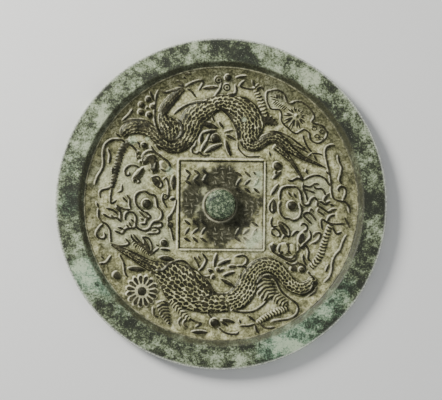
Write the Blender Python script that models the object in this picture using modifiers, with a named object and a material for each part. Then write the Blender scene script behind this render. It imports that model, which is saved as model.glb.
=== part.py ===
"""A cast bronze mirror, lying on its reflecting face with the decorated back up.

The mirror is one casting: a round plate with a broad raised rim, a pierced knob for a cord,
a square frame round the knob with rows of shallow strokes, and two scaled dragons in low
relief among flowers, leaves, curling lines and two pearls.

Metres, +Z up, origin at the centre of the reflecting face. Places in the relief are
hundredths of the field's radius, x to the right and y up the picture.
"""
from math import atan2, cos, pi, radians, sin

import bmesh
import bpy
from mathutils import Matrix, Vector

# Plate and rim
MIRROR_RADIUS = 0.1095
RIM_WIDTH = 0.0195
FIELD_RADIUS = MIRROR_RADIUS - RIM_WIDTH
RIM_THICKNESS = 0.0090
PLATE_THICKNESS = 0.0038
RIM_STEP = 0.0036
RIM_SLOPE_WIDTH = 0.0042
FIELD_SLOPE_WIDTH = 0.0078
EDGE_ROUND = 0.0007
TURN_STEPS = 56

# Knob and its cord hole, which runs along X
KNOB_RADIUS = 0.0102
KNOB_HEIGHT = 0.0086
KNOB_CROWN = 0.0026
KNOB_STEPS = 28
CORD_HOLE_WIDTH = 0.0102
CORD_HOLE_HEIGHT = KNOB_HEIGHT - KNOB_CROWN
CORD_HOLE_ROUND = 0.0028
CORD_HOLE_STEPS = 5

# Square frame and the strokes inside it
FRAME_SIDE = 0.0584
FRAME_WIDTH = 0.0016
FRAME_HEIGHT = 0.0010
STROKE_WIDTH = 0.0013
STROKE_HEIGHT = 0.0006
STROKE_LENGTH = 0.0034
STROKE_PITCH = 0.0043
STROKE_ROW_PITCH = 0.0048
STROKE_MARGIN = 0.0042
STROKE_ROWS = 3
STROKES_IN_ROW = 3
STROKE_TURN = radians(38)

# Relief: a ridge stands on the plate with its foot sunk a little into it
LINE_WIDTH = 0.0013
LINE_HEIGHT = 0.0009
CLAW_WIDTH = 0.0017
CLAW_HEIGHT = 0.0010
OUTLINE_HEIGHT = 0.00095
VEIN_HEIGHT = 0.0007
LIMB_HEIGHT = 0.0016
BODY_HEIGHT = 0.0026
SHOULDER_HEIGHT = 0.0028
LEAF_HEIGHT = 0.0013
DAISY_HEART_HEIGHT = 0.0017
PEARL_HEIGHT = 0.0026
FOOT_DEPTH = 0.0003
FOOT_STAGGER = 0.000005
FOOT_LAYERS = 31

# Dragons: each route is a list of (x, y, half-width)
UPPER_BODY = [
    (-72, 52, 3.0), (-66, 55.5, 5.0), (-57, 56, 5.2), (-50, 52, 5.0), (-43, 45.5, 4.8), (-35, 42.5, 5.5),
    (-27.5, 46, 6.5), (-24, 55, 7.6), (-20, 64, 7.6), (-12, 70, 6.8), (-3, 73, 6.6), (6, 72, 7.6),
    (14, 67, 9.5), (19.5, 59, 10), (20, 50.5, 8), (23, 44.5, 5.2), (30, 43.5, 4.3), (37, 47.5, 4.4),
    (44, 47.5, 4.4), (50, 43, 4.2), (56, 37.5, 3.5), (64, 33, 2.6), (71, 30, 1.8), (77, 27, 0.7),
]
LOWER_BODY = [
    (-81, -30, 1.0), (-74, -33.5, 2.8), (-66, -38, 3.5), (-58, -42.5, 4.5), (-51, -47, 5.5),
    (-43, -50, 6.2), (-35, -52, 8.5), (-28, -57, 11.5), (-22, -64, 11.5), (-13, -70, 9.5), (-3, -73, 7.6),
    (6, -72.5, 7.6), (14, -69, 9), (19, -62, 8.5), (22, -54, 6.6), (27, -47.5, 6), (34, -45, 5.8),
    (41, -48, 5.5), (46, -54, 5), (52, -60, 4.8), (59, -62, 4.6), (65, -59, 4.2), (66, -53, 3.2),
]
LIMBS = [
    [(-44, 66, 3.6), (-40, 75, 3.8), (-33, 82, 3.0), (-27, 86, 2.2)],
    [(39, 60, 3.0), (34, 67, 3.0), (30, 75, 2.7), (26.5, 82, 2.1), (25, 86, 1.9)],
    [(36, 45, 4.0), (44, 41, 4.4), (51, 35, 3.2), (54, 28, 1.9), (58, 23, 1.6), (61, 17.5, 1.1)],
    [(-66, 47, 2.6), (-72, 42, 2.7), (-74.5, 36, 2.5), (-77, 27, 2.3), (-79, 18, 2.1), (-80.5, 12, 1.6)],
    [(36, -66, 5.0), (44, -73, 4.2), (50, -75.5, 3.2), (46, -78, 3.0), (38, -81, 2.8), (31, -85, 2.5),
     (26, -88, 2.0)],
    [(65, -47, 2.6), (70, -43, 3.1), (74, -36, 3.1), (76.5, -28, 2.8), (79, -21, 2.4), (80.5, -15, 2.0)],
    [(-31, -72, 2.6), (-29, -79, 2.6), (-25, -83.5, 2.1), (-22, -85.5, 1.5)],
]
# Shoulders, heads and the thick leaves: (x, y, half-length, half-width, turn in degrees)
SHOULDERS = [(-36.5, 56.5, 10.5, 10.0, 70), (34, -62, 9.8, 8.6, 75), (31, 62, 10.5, 5.0, -12)]
HEADS = [
    (-51.5, 31, 6.0, 5.0, 60), (-61, 23, 8.0, 3.0, 45), (-42, 29.5, 4.6, 3.0, -45),
    (-54, 24, 2.4, 1.4, 20), (50, -33.5, 7.4, 6.0, 20), (59, -29, 6.0, 3.0, 70), (53, -47, 3.6, 3.2, 0),
    (46, -29, 3.6, 2.6, -40),
]

# Claws and the thin raised lines: routes of (x, y)
CLAWS = [
    [(-27, 86), (-20, 90), (-14, 91), (-13.5, 88), (-16.5, 84)], [(-26, 85), (-22, 83), (-19, 78)],
    [(-28, 86), (-27, 94)], [(25, 86), (22.5, 92)], [(25, 85.5), (19, 85), (14, 87), (17, 91)],
    [(26, 86), (28.5, 89)], [(26.5, 84), (29.5, 86), (31.5, 83)],
    [(-89, 4), (-89, 10), (-84, 11.5), (-79, 14)], [(-80.5, 12), (-81.5, 5), (-81, 0), (-77, 3)],
    [(-73, 14.5), (-73, 9.5), (-76.5, 9)], [(61, 17.5), (55.5, 18), (50, 17)],
    [(61, 16.5), (61, 11), (63, 6.5), (63.5, 2)], [(61, 14.5), (65, 13), (69, 15.5), (72.5, 14.5)],
    [(68, 13.5), (70, 11.8), (74.5, 11), (77.5, 6)], [(26, -87), (20, -82)],
    [(25, -88), (20, -90), (14, -90)], [(25, -88), (22, -94), (27, -96)],
    [(28, -87), (34, -91), (41, -88)], [(75, -19), (74.5, -12.5), (80, -14.5), (87, -15), (92, -14.5)],
    [(82, -16), (84, -22), (88, -20)], [(-22, -85), (-18, -87), (-15, -88.5), (-18, -91)],
    [(-24, -85), (-28, -88), (-26, -91)],
]
LINES = [
    [(-30, 85), (-38, 82.3), (-44, 83.5), (-47, 79), (-49, 61), (-46.5, 54), (-42, 49)],
    [(-71, 44), (-80, 47), (-85, 43.5), (-87, 28), (-93, 14)], [(-83, 40), (-82.5, 30)],
    [(-60, 27), (-66, 28.5), (-70.5, 27), (-71, 23.5), (-67.8, 22.5)],
    [(-59, 33), (-57, 37.5), (-52, 39), (-46, 35.5)],
    [(-92.5, 1), (-90.5, -9.5), (-84, -15.5), (-81.5, -29)],
    [(-88, -14), (-91.5, -20), (-90.5, -24), (-86.5, -25)],
    [(-73, -13.5), (-75, -10.5), (-82, -10), (-87, -7)], [(-74.5, -8), (-79, -5), (-85, -3)],
    [(-72, -3.5), (-69, 1), (-73, 6)], [(-67, -3.5), (-67.2, 2), (-69.5, 7)],
    [(-55, -19.3), (-63, -17), (-70, -18), (-72, -21), (-79, -19.5)], [(-63.2, -14), (-67, -10.5)],
    [(-54.5, -22), (-45, -22)], [(-68, -23), (-64, -28), (-58, -32), (-54, -38.5)],
    [(-74, -32.5), (-68, -30), (-70.5, -25.5)], [(-43, 17), (-41, 19), (-38.6, 10), (-42, -1)],
    [(-33.8, 4), (-34, -1), (-38.5, -14), (-35, -27.5)], [(-52, 19.5), (-46, 20), (-44, 15), (-51, 17)],
    [(84, 43.5), (77.5, 40), (81.5, 9), (84, 3), (89, 2.3), (92, 7), (90.5, 12.3), (87, 8)],
    [(90, 2.3), (95.2, -8)], [(87, 35), (89, 28), (87.5, 18)], [(62.5, 17.5), (71, 21), (80.5, 13)],
    [(71.3, 3), (71.3, -1.5), (77.5, -6), (84.5, -4)],
    [(67, -15), (61.5, -7), (65, -6.5), (66.5, -4), (70, -8)],
    [(58.5, -16), (61, -14.5), (63.5, -17), (61, -20)], [(69, -26), (73.3, -22), (72.5, -27), (65, -30)],
    [(66, -20), (66.3, -26), (62, -31)], [(41, -36), (46, -40.5), (52, -42), (55.8, -36.5)],
    [(92, -23), (83.5, -37.5), (81, -52), (76, -57.5)], [(71.5, -59), (68, -54), (64, -49)],
    [(40, -54.5), (42, -60), (53, -71), (57, -76.5), (54.5, -82), (36, -87)],
    [(38.5, 3.5), (36.3, 0), (38.3, -8)], [(38, -9), (37, -13), (41, -16)],
    [(12, 45), (12.8, 40), (17.5, 35.6), (30, 35)], [(36, 54), (45, 52), (63, 39.5)],
    [(60, 53), (61.5, 46.5), (68, 38)], [(63, 34), (67.5, 37.3), (75, 36.5)],
    [(10.5, 88.5), (11, 84), (4, 80.5)], [(-5, 74), (-2.5, 80), (0, 88)],
    [(-20, 45), (-21.5, 41), (-19.5, 37.3), (-7, 36.3)], [(-20, -38.5), (-15.8, -50)],
    [(-14.5, -37), (-11, -42), (-16.5, -50.5)], [(11, -39), (17, -38), (19, -41), (11, -45)],
    [(18.3, -45.5), (18.3, -49), (14, -60)], [(-11, -54), (-5, -64.5)],
    [(2, -84), (11, -88), (13.5, -86)], [(-73, -38), (-72, -52), (-69.5, -59)],
    [(-50, -76), (-50.5, -80), (-48, -84)],
]
OUTLINES = [
    [(35.5, 83), (43, 83.5), (48, 79), (49.5, 73.8), (56, 75), (64, 71.5), (68, 64), (68.5, 59),
     (75.5, 57), (78.5, 51), (74, 45.3), (68, 45.5), (65.3, 51.5), (61, 54.3), (56, 51.7), (49, 55.5),
     (44, 62), (43, 69), (37.5, 70.5), (34, 77)],
    [(-63.3, 4), (-60.5, 8.8), (-54.5, 8), (-48.5, 6), (-46.8, -1), (-43.6, -8), (-47, -12.5), (-52, -17),
     (-59, -19.2), (-63, -15), (-63, -8.5), (-67, -6), (-70.5, -9), (-69, -2), (-62.5, -1)],
    [(43.5, 8.5), (47, 12.3), (54, 11.6), (58, 9), (59.5, 1), (62.5, -1.5), (65.2, 2), (68.5, 4.5),
     (71.5, 1), (66, -2.5), (60, -5), (57, -10.5), (53, -12), (46, -10.3), (43.5, -3)],
    [(42, -13), (46, -15), (50, -18.5), (50, -25), (45.5, -22)],
    [(37, -18.8), (40.5, -18.3), (42.5, -24)],
    [(-47, -73), (-39, -73), (-38, -80), (-37, -88.5), (-43, -83)],
]
# Leaves and petals: (x and y of the foot, x and y of the tip, half-width)
LEAVES = [
    (-15.5, 59.8, -2.5, 56, 2.7), (-2, 61, 1.6, 55.8, 1.3), (2, 53, 9, 54.7, 0.8),
    (3.2, 51.2, 10.8, 47.2, 1.5), (3.4, 47.5, 7, 35.5, 1.6), (-14.5, 52, -3.5, 54.2, 1.5),
    (-14, 51.5, -15, 45, 1.6), (-9.5, 47.5, -15, 38.3, 1.6), (-12, 37.8, 0.5, 43.5, 2.4),
    (-14.5, 85, -1.5, 86.2, 1.6), (10.5, 93, 19, 94, 1.2), (-69, -47.8, -56, -48.2, 2.4),
    (-59.5, -24, -52, -37.5, 2.4), (-46, -40, -34.5, -40.8, 2.6), (-45.5, -33.2, -37.5, -34.2, 1.2),
    (-22.5, -94.4, -9, -94.8, 1.8), (-44.3, -62, -38, -63.5, 1.2), (-10, -47.5, -6.4, -50, 1.3),
    (-4.5, -36.5, -5.8, -46.5, 2.0), (-0.2, -40.5, 6.4, -42.2, 1.8), (5, -46.5, 11, -45.5, 1.6),
    (0, -53.3, 10.5, -50.6, 1.5), (-1.2, -55, 9.6, -61, 1.8), (-7.5, -53, -5, -56.5, 1.6),
    (0.5, -86, 12.5, -89.5, 2.1), (0, -92.5, 12, -93.5, 1.8), (-35, 21.5, -35.6, 10.5, 1.8),
    (37.5, 19, 44, 25.5, 1.5), (-54, 44, -49, 39.5, 1.6),
]
# Pearls, buds and blossom dots: (x, y, radius)
PEARLS = [
    (-55, 0, 3.7), (52, -1.5, 3.7), (-42.3, -28.8, 3.0), (41, 28, 3.2), (-57, 43.5, 2.5),
    (59, -48.5, 2.1), (-53.5, 77, 2.3), (-58.6, 73, 2.3), (-59.5, 67.6, 2.3), (-53, 65.5, 2.3),
    (-50.3, 72, 2.0), (-54.6, 70.7, 1.2), (5, 93, 2.5), (-2, 91.6, 1.0), (4, 86, 1.0), (-2, 49, 3.4),
    (-2.5, -48, 2.1), (-77, -53, 3.2), (-5, -88, 3.8),
]
RINGS = [(-2, 91.6, 2.4), (4, 86, 2.4)]
DAISY_PLACE = (-58.5, -64.5)
DAISY_HEART = 4.0
DAISY_PETALS = 13
DAISY_PETAL_FOOT = 5.2
DAISY_PETAL_TIP = 11.0
DAISY_PETAL_HALF_WIDTH = 1.9
LOTUS_PLACE = (55.5, 65.5)
LOTUS_VEINS = 10
LOTUS_VEIN_FOOT = 3.0
LOTUS_VEIN_TIP = 9.5

BRONZE = (0.235, 0.240, 0.180, 1.0)


def field(x, y, z=0.0):
    """A point of the relief, from hundredths of the field's radius to metres."""
    return Vector((x * FIELD_RADIUS / 100, y * FIELD_RADIUS / 100, z))


def length_in_field(share):
    return share * FIELD_RADIUS / 100


def in_field(length):
    """A length in metres, as hundredths of the field's radius."""
    return 100 * length / FIELD_RADIUS


def collection(name):
    made = bpy.data.collections.new(name)
    bpy.context.scene.collection.children.link(made)
    return made


def clear_scene():
    for obj in list(bpy.data.objects):
        bpy.data.objects.remove(obj)


def as_helper(obj, helpers):
    """Hides a shape that only joins or cuts another."""
    helpers.objects.link(obj)
    obj.hide_render = True
    obj.display_type = "WIRE"
    return obj


def helper_mesh(name, mesh, helpers):
    return as_helper(bpy.data.objects.new(name, mesh), helpers)


def foot_depth(helpers):
    """How far the next shape's foot is sunk. Each is a hair off the others, so that no two share a plane."""
    return FOOT_DEPTH + FOOT_STAGGER * (len(helpers.objects) % FOOT_LAYERS)


def turned(name, profile, steps, owner):
    """A solid of revolution from (radius, height) points, top to bottom down its outer side."""
    mesh = bpy.data.meshes.new(name)
    edges = [(i, i + 1) for i in range(len(profile) - 1)]
    mesh.from_pydata([(radius, 0, height) for radius, height in profile], edges, [])
    obj = bpy.data.objects.new(name, mesh)
    owner.objects.link(obj)
    screw = obj.modifiers.new("Turn", "SCREW")
    screw.steps = steps
    screw.render_steps = steps
    screw.use_merge_vertices = True
    screw.merge_threshold = 0.00001
    screw.use_smooth_shade = False
    return obj


def ridge(name, route, height, helpers, sides=4, closed=False, smooth=2):
    """A raised ridge along a route of (x, y, half-width), lower where it is thinner."""
    curve = bpy.data.curves.new(name, "CURVE")
    curve.dimensions = "3D"
    curve.twist_mode = "Z_UP"
    curve.bevel_depth = 1.0
    curve.bevel_resolution = (sides - 4) // 2
    curve.use_fill_caps = True
    curve.resolution_u = smooth
    spline = curve.splines.new("BEZIER")
    spline.bezier_points.add(len(route) - 1)
    spline.use_cyclic_u = closed
    for knot, (x, y, half) in zip(spline.bezier_points, route):
        knot.co = field(x, y)
        knot.radius = length_in_field(half)
        knot.handle_left_type = "AUTO"
        knot.handle_right_type = "AUTO"
    source = bpy.data.objects.new(name, curve)
    bpy.context.scene.collection.objects.link(source)
    evaluated = source.evaluated_get(bpy.context.evaluated_depsgraph_get())
    mesh = bpy.data.meshes.new_from_object(evaluated)
    bpy.data.objects.remove(source)
    weld(mesh)
    widest = max(half for _, _, half in route)
    depth = foot_depth(helpers)
    mesh.transform(Matrix.Diagonal((1, 1, (height + depth) / length_in_field(widest), 1)))
    mesh.transform(Matrix.Translation((0, 0, PLATE_THICKNESS - depth)))
    helper_mesh(name, mesh, helpers)


def ridges(name, routes, height, helpers, **form):
    for route in routes:
        ridge(name, route, height, helpers, **form)


def weld(mesh):
    shape = bmesh.new()
    shape.from_mesh(mesh)
    bmesh.ops.remove_doubles(shape, verts=shape.verts, dist=0.000001)
    bmesh.ops.recalc_face_normals(shape, faces=shape.faces)
    shape.to_mesh(mesh)
    shape.free()


def mound(name, place, half_length, half_width, height, turn, helpers, around=10, up=4):
    """A rounded mound, or a leaf when it is long, with its foot in the plate."""
    depth = foot_depth(helpers)
    size = (length_in_field(half_length), length_in_field(half_width), height + depth, 1)
    foot = Matrix.Translation(field(*place, PLATE_THICKNESS - depth))
    matrix = foot @ Matrix.Rotation(turn, 4, "Z") @ Matrix.Diagonal(size)
    shape = bmesh.new()
    bmesh.ops.create_uvsphere(shape, u_segments=around, v_segments=up, radius=1, matrix=matrix)
    mesh = bpy.data.meshes.new(name)
    shape.to_mesh(mesh)
    shape.free()
    helper_mesh(name, mesh, helpers)


def leaf(name, foot_x, foot_y, tip_x, tip_y, half_width, height, helpers, around=8):
    half_length = Vector((tip_x - foot_x, tip_y - foot_y)).length / 2
    middle = ((foot_x + tip_x) / 2, (foot_y + tip_y) / 2)
    turn = atan2(tip_y - foot_y, tip_x - foot_x)
    mound(name, middle, half_length, half_width, height, turn, helpers, around)


def round_the_place(place, count, foot, tip):
    """(foot, tip) pairs that stand out round a place like the spokes of a wheel."""
    for number in range(count):
        turn = 2 * pi * number / count
        out = Vector((cos(turn), sin(turn)))
        yield Vector(place) + out * foot, Vector(place) + out * tip


def with_width(points, half_width):
    return [(x, y, half_width) for x, y in points]


def plate_profile():
    """Half a section: flat field, shallow slope, short step, slope to the rim's flat top, round edge, flat face."""
    slope_foot = FIELD_RADIUS - FIELD_SLOPE_WIDTH
    slope_top = RIM_THICKNESS - RIM_STEP
    edge = [
        (MIRROR_RADIUS - EDGE_ROUND * (1 - sin(turn)), RIM_THICKNESS - EDGE_ROUND * (1 - cos(turn)))
        for turn in (0, pi / 4, pi / 2)
    ]
    return [
        (0, PLATE_THICKNESS), (slope_foot, PLATE_THICKNESS), (FIELD_RADIUS, slope_top),
        (FIELD_RADIUS + RIM_STEP / 4, slope_top + RIM_STEP / 6),
        (FIELD_RADIUS + RIM_SLOPE_WIDTH, RIM_THICKNESS), *edge,
        (MIRROR_RADIUS, EDGE_ROUND), (MIRROR_RADIUS - EDGE_ROUND, 0), (0, 0),
    ]


def make_knob(helpers, cutters):
    """A round flat-topped knob, pierced along X by a low arched hole with the plate as its floor."""
    rise = [(0, 1.0), (0.45, 0.98), (0.76, 0.88), (0.93, 0.66), (1.0, 0.34), (1.0, 0.0)]
    profile = [(KNOB_RADIUS * out, PLATE_THICKNESS + KNOB_HEIGHT * up) for out, up in rise]
    sunk = PLATE_THICKNESS / 2
    profile += [(KNOB_RADIUS, sunk), (0, sunk)]
    knob = turned("knob", profile, KNOB_STEPS, helpers)
    knob.hide_render = True
    knob.display_type = "WIRE"

    side = CORD_HOLE_WIDTH / 2
    centre = side - CORD_HOLE_ROUND
    spring = PLATE_THICKNESS + CORD_HOLE_HEIGHT - CORD_HOLE_ROUND
    below = sunk / 2
    outline = [(side, below)]
    for towards in (1, -1):
        for step in range(CORD_HOLE_STEPS + 1):
            turn = pi / 2 * (step if towards > 0 else CORD_HOLE_STEPS - step) / CORD_HOLE_STEPS
            out, up = CORD_HOLE_ROUND * cos(turn), CORD_HOLE_ROUND * sin(turn)
            outline.append((towards * (centre + out), spring + up))
    outline.append((-side, below))
    shape = bmesh.new()
    reach = KNOB_RADIUS * 1.5
    end = shape.faces.new([shape.verts.new((-reach, y, z)) for y, z in outline])
    grown = bmesh.ops.extrude_face_region(shape, geom=[end])
    moved = [v for v in grown["geom"] if isinstance(v, bmesh.types.BMVert)]
    bmesh.ops.translate(shape, verts=moved, vec=(2 * reach, 0, 0))
    bmesh.ops.recalc_face_normals(shape, faces=shape.faces)
    mesh = bpy.data.meshes.new("cord_hole")
    shape.to_mesh(mesh)
    shape.free()
    pierce = knob.modifiers.new("Cord hole", "BOOLEAN")
    pierce.operation = "DIFFERENCE"
    pierce.object = helper_mesh("cord_hole", mesh, cutters)


def make_frame(helpers):
    half = in_field(FRAME_SIDE / 2)
    corners = [(-half, -half), (half, -half), (half, half), (-half, half)]
    route = with_width(corners, in_field(FRAME_WIDTH / 2))
    ridge("square_frame", route, FRAME_HEIGHT, helpers, closed=True, smooth=1)


def make_strokes(helpers):
    """Four corner blocks of slanting strokes in rows, where an inscription stands. They aren't letters."""
    half_width = in_field(STROKE_WIDTH / 2)
    reach = in_field(STROKE_LENGTH / 2)
    corner = FRAME_SIDE / 2 - STROKE_MARGIN
    for side_x in (-1, 1):
        for side_y in (-1, 1):
            for row in range(STROKE_ROWS):
                y = side_y * in_field(corner - row * STROKE_ROW_PITCH)
                turn = STROKE_TURN if row % 2 else -STROKE_TURN
                for number in range(STROKES_IN_ROW):
                    x = side_x * in_field(corner - number * STROKE_PITCH)
                    dx, dy = reach * cos(turn), reach * sin(turn)
                    route = [(x - dx, y - dy, half_width), (x + dx, y + dy, half_width)]
                    ridge("stroke", route, STROKE_HEIGHT, helpers, smooth=1)


def make_dragons(helpers):
    ridges("dragon_body", [UPPER_BODY, LOWER_BODY], BODY_HEIGHT, helpers, sides=6)
    ridges("limb", LIMBS, LIMB_HEIGHT, helpers, sides=6)
    claw_half = in_field(CLAW_WIDTH / 2)
    ridges("claw", [with_width(route, claw_half) for route in CLAWS], CLAW_HEIGHT, helpers, smooth=1)
    for x, y, half_length, half_width, turn in SHOULDERS:
        mound("shoulder", (x, y), half_length, half_width, SHOULDER_HEIGHT, radians(turn), helpers, around=14)
    for x, y, half_length, half_width, turn in HEADS:
        mound("head", (x, y), half_length, half_width, LIMB_HEIGHT, radians(turn), helpers)


def make_plants(helpers):
    line_half = in_field(LINE_WIDTH / 2)
    ridges("line", [with_width(route, line_half) for route in LINES], LINE_HEIGHT, helpers, smooth=1)
    outlines = [with_width(route, line_half) for route in OUTLINES]
    ridges("outline", outlines, OUTLINE_HEIGHT, helpers, closed=True)
    for numbers in LEAVES:
        leaf("leaf", *numbers, LEAF_HEIGHT, helpers)
    for foot, tip in round_the_place(DAISY_PLACE, DAISY_PETALS, DAISY_PETAL_FOOT, DAISY_PETAL_TIP):
        leaf("daisy_petal", *foot, *tip, DAISY_PETAL_HALF_WIDTH, LEAF_HEIGHT, helpers, around=6)
    mound("daisy_heart", DAISY_PLACE, DAISY_HEART, DAISY_HEART, DAISY_HEART_HEIGHT, 0, helpers)
    for foot, tip in round_the_place(LOTUS_PLACE, LOTUS_VEINS, LOTUS_VEIN_FOOT, LOTUS_VEIN_TIP):
        leaf("lotus_vein", *foot, *tip, line_half, VEIN_HEIGHT, helpers, around=6)
    largest = max(radius for _, _, radius in PEARLS)
    for x, y, radius in PEARLS:
        mound("pearl", (x, y), radius, radius, PEARL_HEIGHT * radius / largest, 0, helpers)
    for x, y, radius in RINGS:
        points = [tip for _, tip in round_the_place((x, y), 6, radius, radius)]
        ridge("ring", with_width(points, line_half), LINE_HEIGHT, helpers, closed=True)


def bronze():
    material = bpy.data.materials.new("patinated_bronze")
    material.use_nodes = True
    shader = material.node_tree.nodes["Principled BSDF"]
    shader.inputs["Base Color"].default_value = BRONZE
    shader.inputs["Metallic"].default_value = 0.35
    shader.inputs["Roughness"].default_value = 0.6
    return material


def main():
    clear_scene()
    parts = collection("bronze_mirror")
    helpers = collection("raised_relief")
    cutters = collection("cutters")
    mirror = turned("bronze_mirror", plate_profile(), TURN_STEPS, parts)
    mirror.data.materials.append(bronze())
    make_knob(helpers, cutters)
    make_frame(helpers)
    make_strokes(helpers)
    make_dragons(helpers)
    make_plants(helpers)
    join = mirror.modifiers.new("Relief", "BOOLEAN")
    join.operation = "UNION"
    join.solver = "EXACT"
    join.operand_type = "COLLECTION"
    join.collection = helpers


main()
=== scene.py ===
"""Finish of a cast bronze mirror, seen on its decorated back.

The back is one cast surface. Its relief is drawn as a height map in the mirror's own plane,
figure by figure, and the map is then laid on meshes that follow the frame's size.
"""
from math import atan2, cos, hypot, pi, radians, sin

import bmesh
import bpy
import numpy as np
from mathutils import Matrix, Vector


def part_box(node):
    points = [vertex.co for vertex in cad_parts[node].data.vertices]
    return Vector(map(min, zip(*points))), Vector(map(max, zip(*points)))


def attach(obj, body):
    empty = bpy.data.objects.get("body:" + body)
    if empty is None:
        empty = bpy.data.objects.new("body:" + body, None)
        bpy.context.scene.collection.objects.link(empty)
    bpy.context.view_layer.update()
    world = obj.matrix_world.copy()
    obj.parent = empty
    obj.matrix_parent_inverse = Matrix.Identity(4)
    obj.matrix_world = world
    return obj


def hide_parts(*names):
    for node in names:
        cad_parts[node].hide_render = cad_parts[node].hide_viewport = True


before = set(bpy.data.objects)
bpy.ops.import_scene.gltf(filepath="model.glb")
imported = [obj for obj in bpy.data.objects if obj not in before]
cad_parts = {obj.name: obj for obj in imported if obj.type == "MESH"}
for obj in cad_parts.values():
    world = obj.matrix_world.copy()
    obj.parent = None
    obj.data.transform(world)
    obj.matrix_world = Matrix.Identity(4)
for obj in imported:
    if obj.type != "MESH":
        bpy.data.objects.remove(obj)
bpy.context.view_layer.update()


# The plate of the back. The mirror was cast in one pour in a two-part mould, and the pattern was pressed into
# the clay of one half. Here the pattern is a map of heights over the field, with a second map that says where
# wear has bared the dark bronze through the earth, and where shade is painted dark into the sunk scale faces
# and along the dragons' outlines.
low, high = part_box("bronze_mirror")
MIRROR_RADIUS = (high[0] - low[0]) / 2
RIM_WIDTH = 0.0195
FIELD_RADIUS = MIRROR_RADIUS - RIM_WIDTH
PLATE_LEVEL = 0.0038
MM = 0.001
CELL = 0.00025
UNIT = FIELD_RADIUS / 100

half_cells = int(FIELD_RADIUS / CELL) + 2
map_line = np.arange(-half_cells, half_cells + 1) * CELL / UNIT
map_x, map_y = np.meshgrid(map_line, map_line)
height_map = np.zeros_like(map_x)
wear_and_shade_map = np.zeros_like(map_x)
silt_map = np.zeros_like(map_x)


# The square frame round the knob, with rows of short strokes where the inscription stands.
# It was cut into the mould last, so it is crisp, and the earth lies light in its corners.
FRAME_CENTRE = (0.3, -0.9)
FRAME_HALF_WIDTH = 31.9
FRAME_HALF_HEIGHT = 33.3
FRAME_LINE_HALF = 0.55
FRAME_GROOVE_INSET = 1.15
FRAME_GROOVE_HALF = 0.5
FRAME_TURN = radians(-0.7)


def smoothstep(low_end, high_end, value):
    """How far a value has gone from one end to the other, eased at both."""
    share = np.clip((value - low_end) / (high_end - low_end), 0, 1)
    return share * share * (3 - 2 * share)


def map_window(points, margin):
    """The rows and columns of the maps that lie within a margin of some points."""
    xs, ys = zip(*points)
    first_column = np.searchsorted(map_line, min(xs) - margin)
    last_column = np.searchsorted(map_line, max(xs) + margin)
    first_row = np.searchsorted(map_line, min(ys) - margin)
    last_row = np.searchsorted(map_line, max(ys) + margin)
    return slice(first_row, last_row), slice(first_column, last_column)


def curve_through(points, closed=False, steps=5):
    """A smooth curve through points of any number of values each, as a finer list of points."""
    knots = np.array(points, dtype=float)
    if len(knots) == 2:
        return knots
    if closed:
        knots = np.vstack([knots[-1], knots, knots[:2]])
    else:
        knots = np.vstack([2 * knots[0] - knots[1], knots, 2 * knots[-1] - knots[-2]])
    share = np.linspace(0, 1, steps, endpoint=False)[:, None]
    pieces = []
    for a, b, c, d in zip(knots, knots[1:], knots[2:], knots[3:]):
        pieces.append(
            b + 0.5 * share * (c - a + share * (2 * a - 5 * b + 4 * c - d + share * (3 * (b - c) + d - a)))
        )
    return np.vstack(pieces + [knots[-2:-1]])


def near_curve(curve, window):
    """For each cell of a window: distance to a curve, distance along it, side, and half-width there."""
    x, y = map_x[window], map_y[window]
    best = np.full(x.shape, 1e9)
    along, side, width = np.zeros((3, *x.shape))
    passed = 0.0
    for start, end in zip(curve, curve[1:]):
        dx, dy = end[0] - start[0], end[1] - start[1]
        length = hypot(dx, dy)
        if length < 1e-9:
            continue
        share = np.clip(((x - start[0]) * dx + (y - start[1]) * dy) / length**2, 0, 1)
        distance = np.hypot(x - start[0] - share * dx, y - start[1] - share * dy)
        nearer = distance < best
        best[nearer] = distance[nearer]
        along[nearer] = passed + share[nearer] * length
        turned_to = (x - start[0]) * dy - (y - start[1]) * dx
        side[nearer] = np.sign(turned_to[nearer]) * distance[nearer]
        if len(start) > 2:
            width[nearer] = start[2] + share[nearer] * (end[2] - start[2])
        passed += length
    return best, along, side, width, passed


def raise_to(window, height, wear_and_shade, silt=0.0):
    """Lays a shape over what is there: the higher surface wins, and brings its wear, its painted shade and
    its silt.
    """
    over = height > height_map[window]
    wear_and_shade_map[window] = np.where(over, wear_and_shade, wear_and_shade_map[window])
    silt_map[window] = np.where(over, silt, silt_map[window])
    height_map[window] = np.maximum(height_map[window], height)


def raise_line(points, half_width, height, closed=False, dark=1.0, silt=0.0, ground=0.0):
    """A thin rounded ridge along a curve, tapered at open ends. Its height is in mm over the ground."""
    curve = curve_through(points, closed)
    window = map_window(curve[:, :2], half_width * 2)
    distance, along, _, _, length = near_curve(curve, window)
    if not closed:
        half_width = half_width * smoothstep(-1.0, 2.2, np.minimum(along, length - along)) + 0.05
    crown = np.clip(1 - (distance / (half_width * 1.5)) ** 2, 0, 1)
    wear_and_shade = smoothstep(0.22, 0.50, crown)
    level = ground[window] if np.ndim(ground) else ground
    raise_to(
        window, (level + height * crown**0.7) * (crown > 0),
        np.maximum(dark * wear_and_shade, 0.6 * wear_and_shade_map[window]), silt * wear_and_shade,
    )


def in_frame(x, y):
    """A point given from the frame's centre, turned as the frame is."""
    return (
        FRAME_CENTRE[0] + x * cos(FRAME_TURN) - y * sin(FRAME_TURN),
        FRAME_CENTRE[1] + x * sin(FRAME_TURN) + y * cos(FRAME_TURN),
    )


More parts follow.
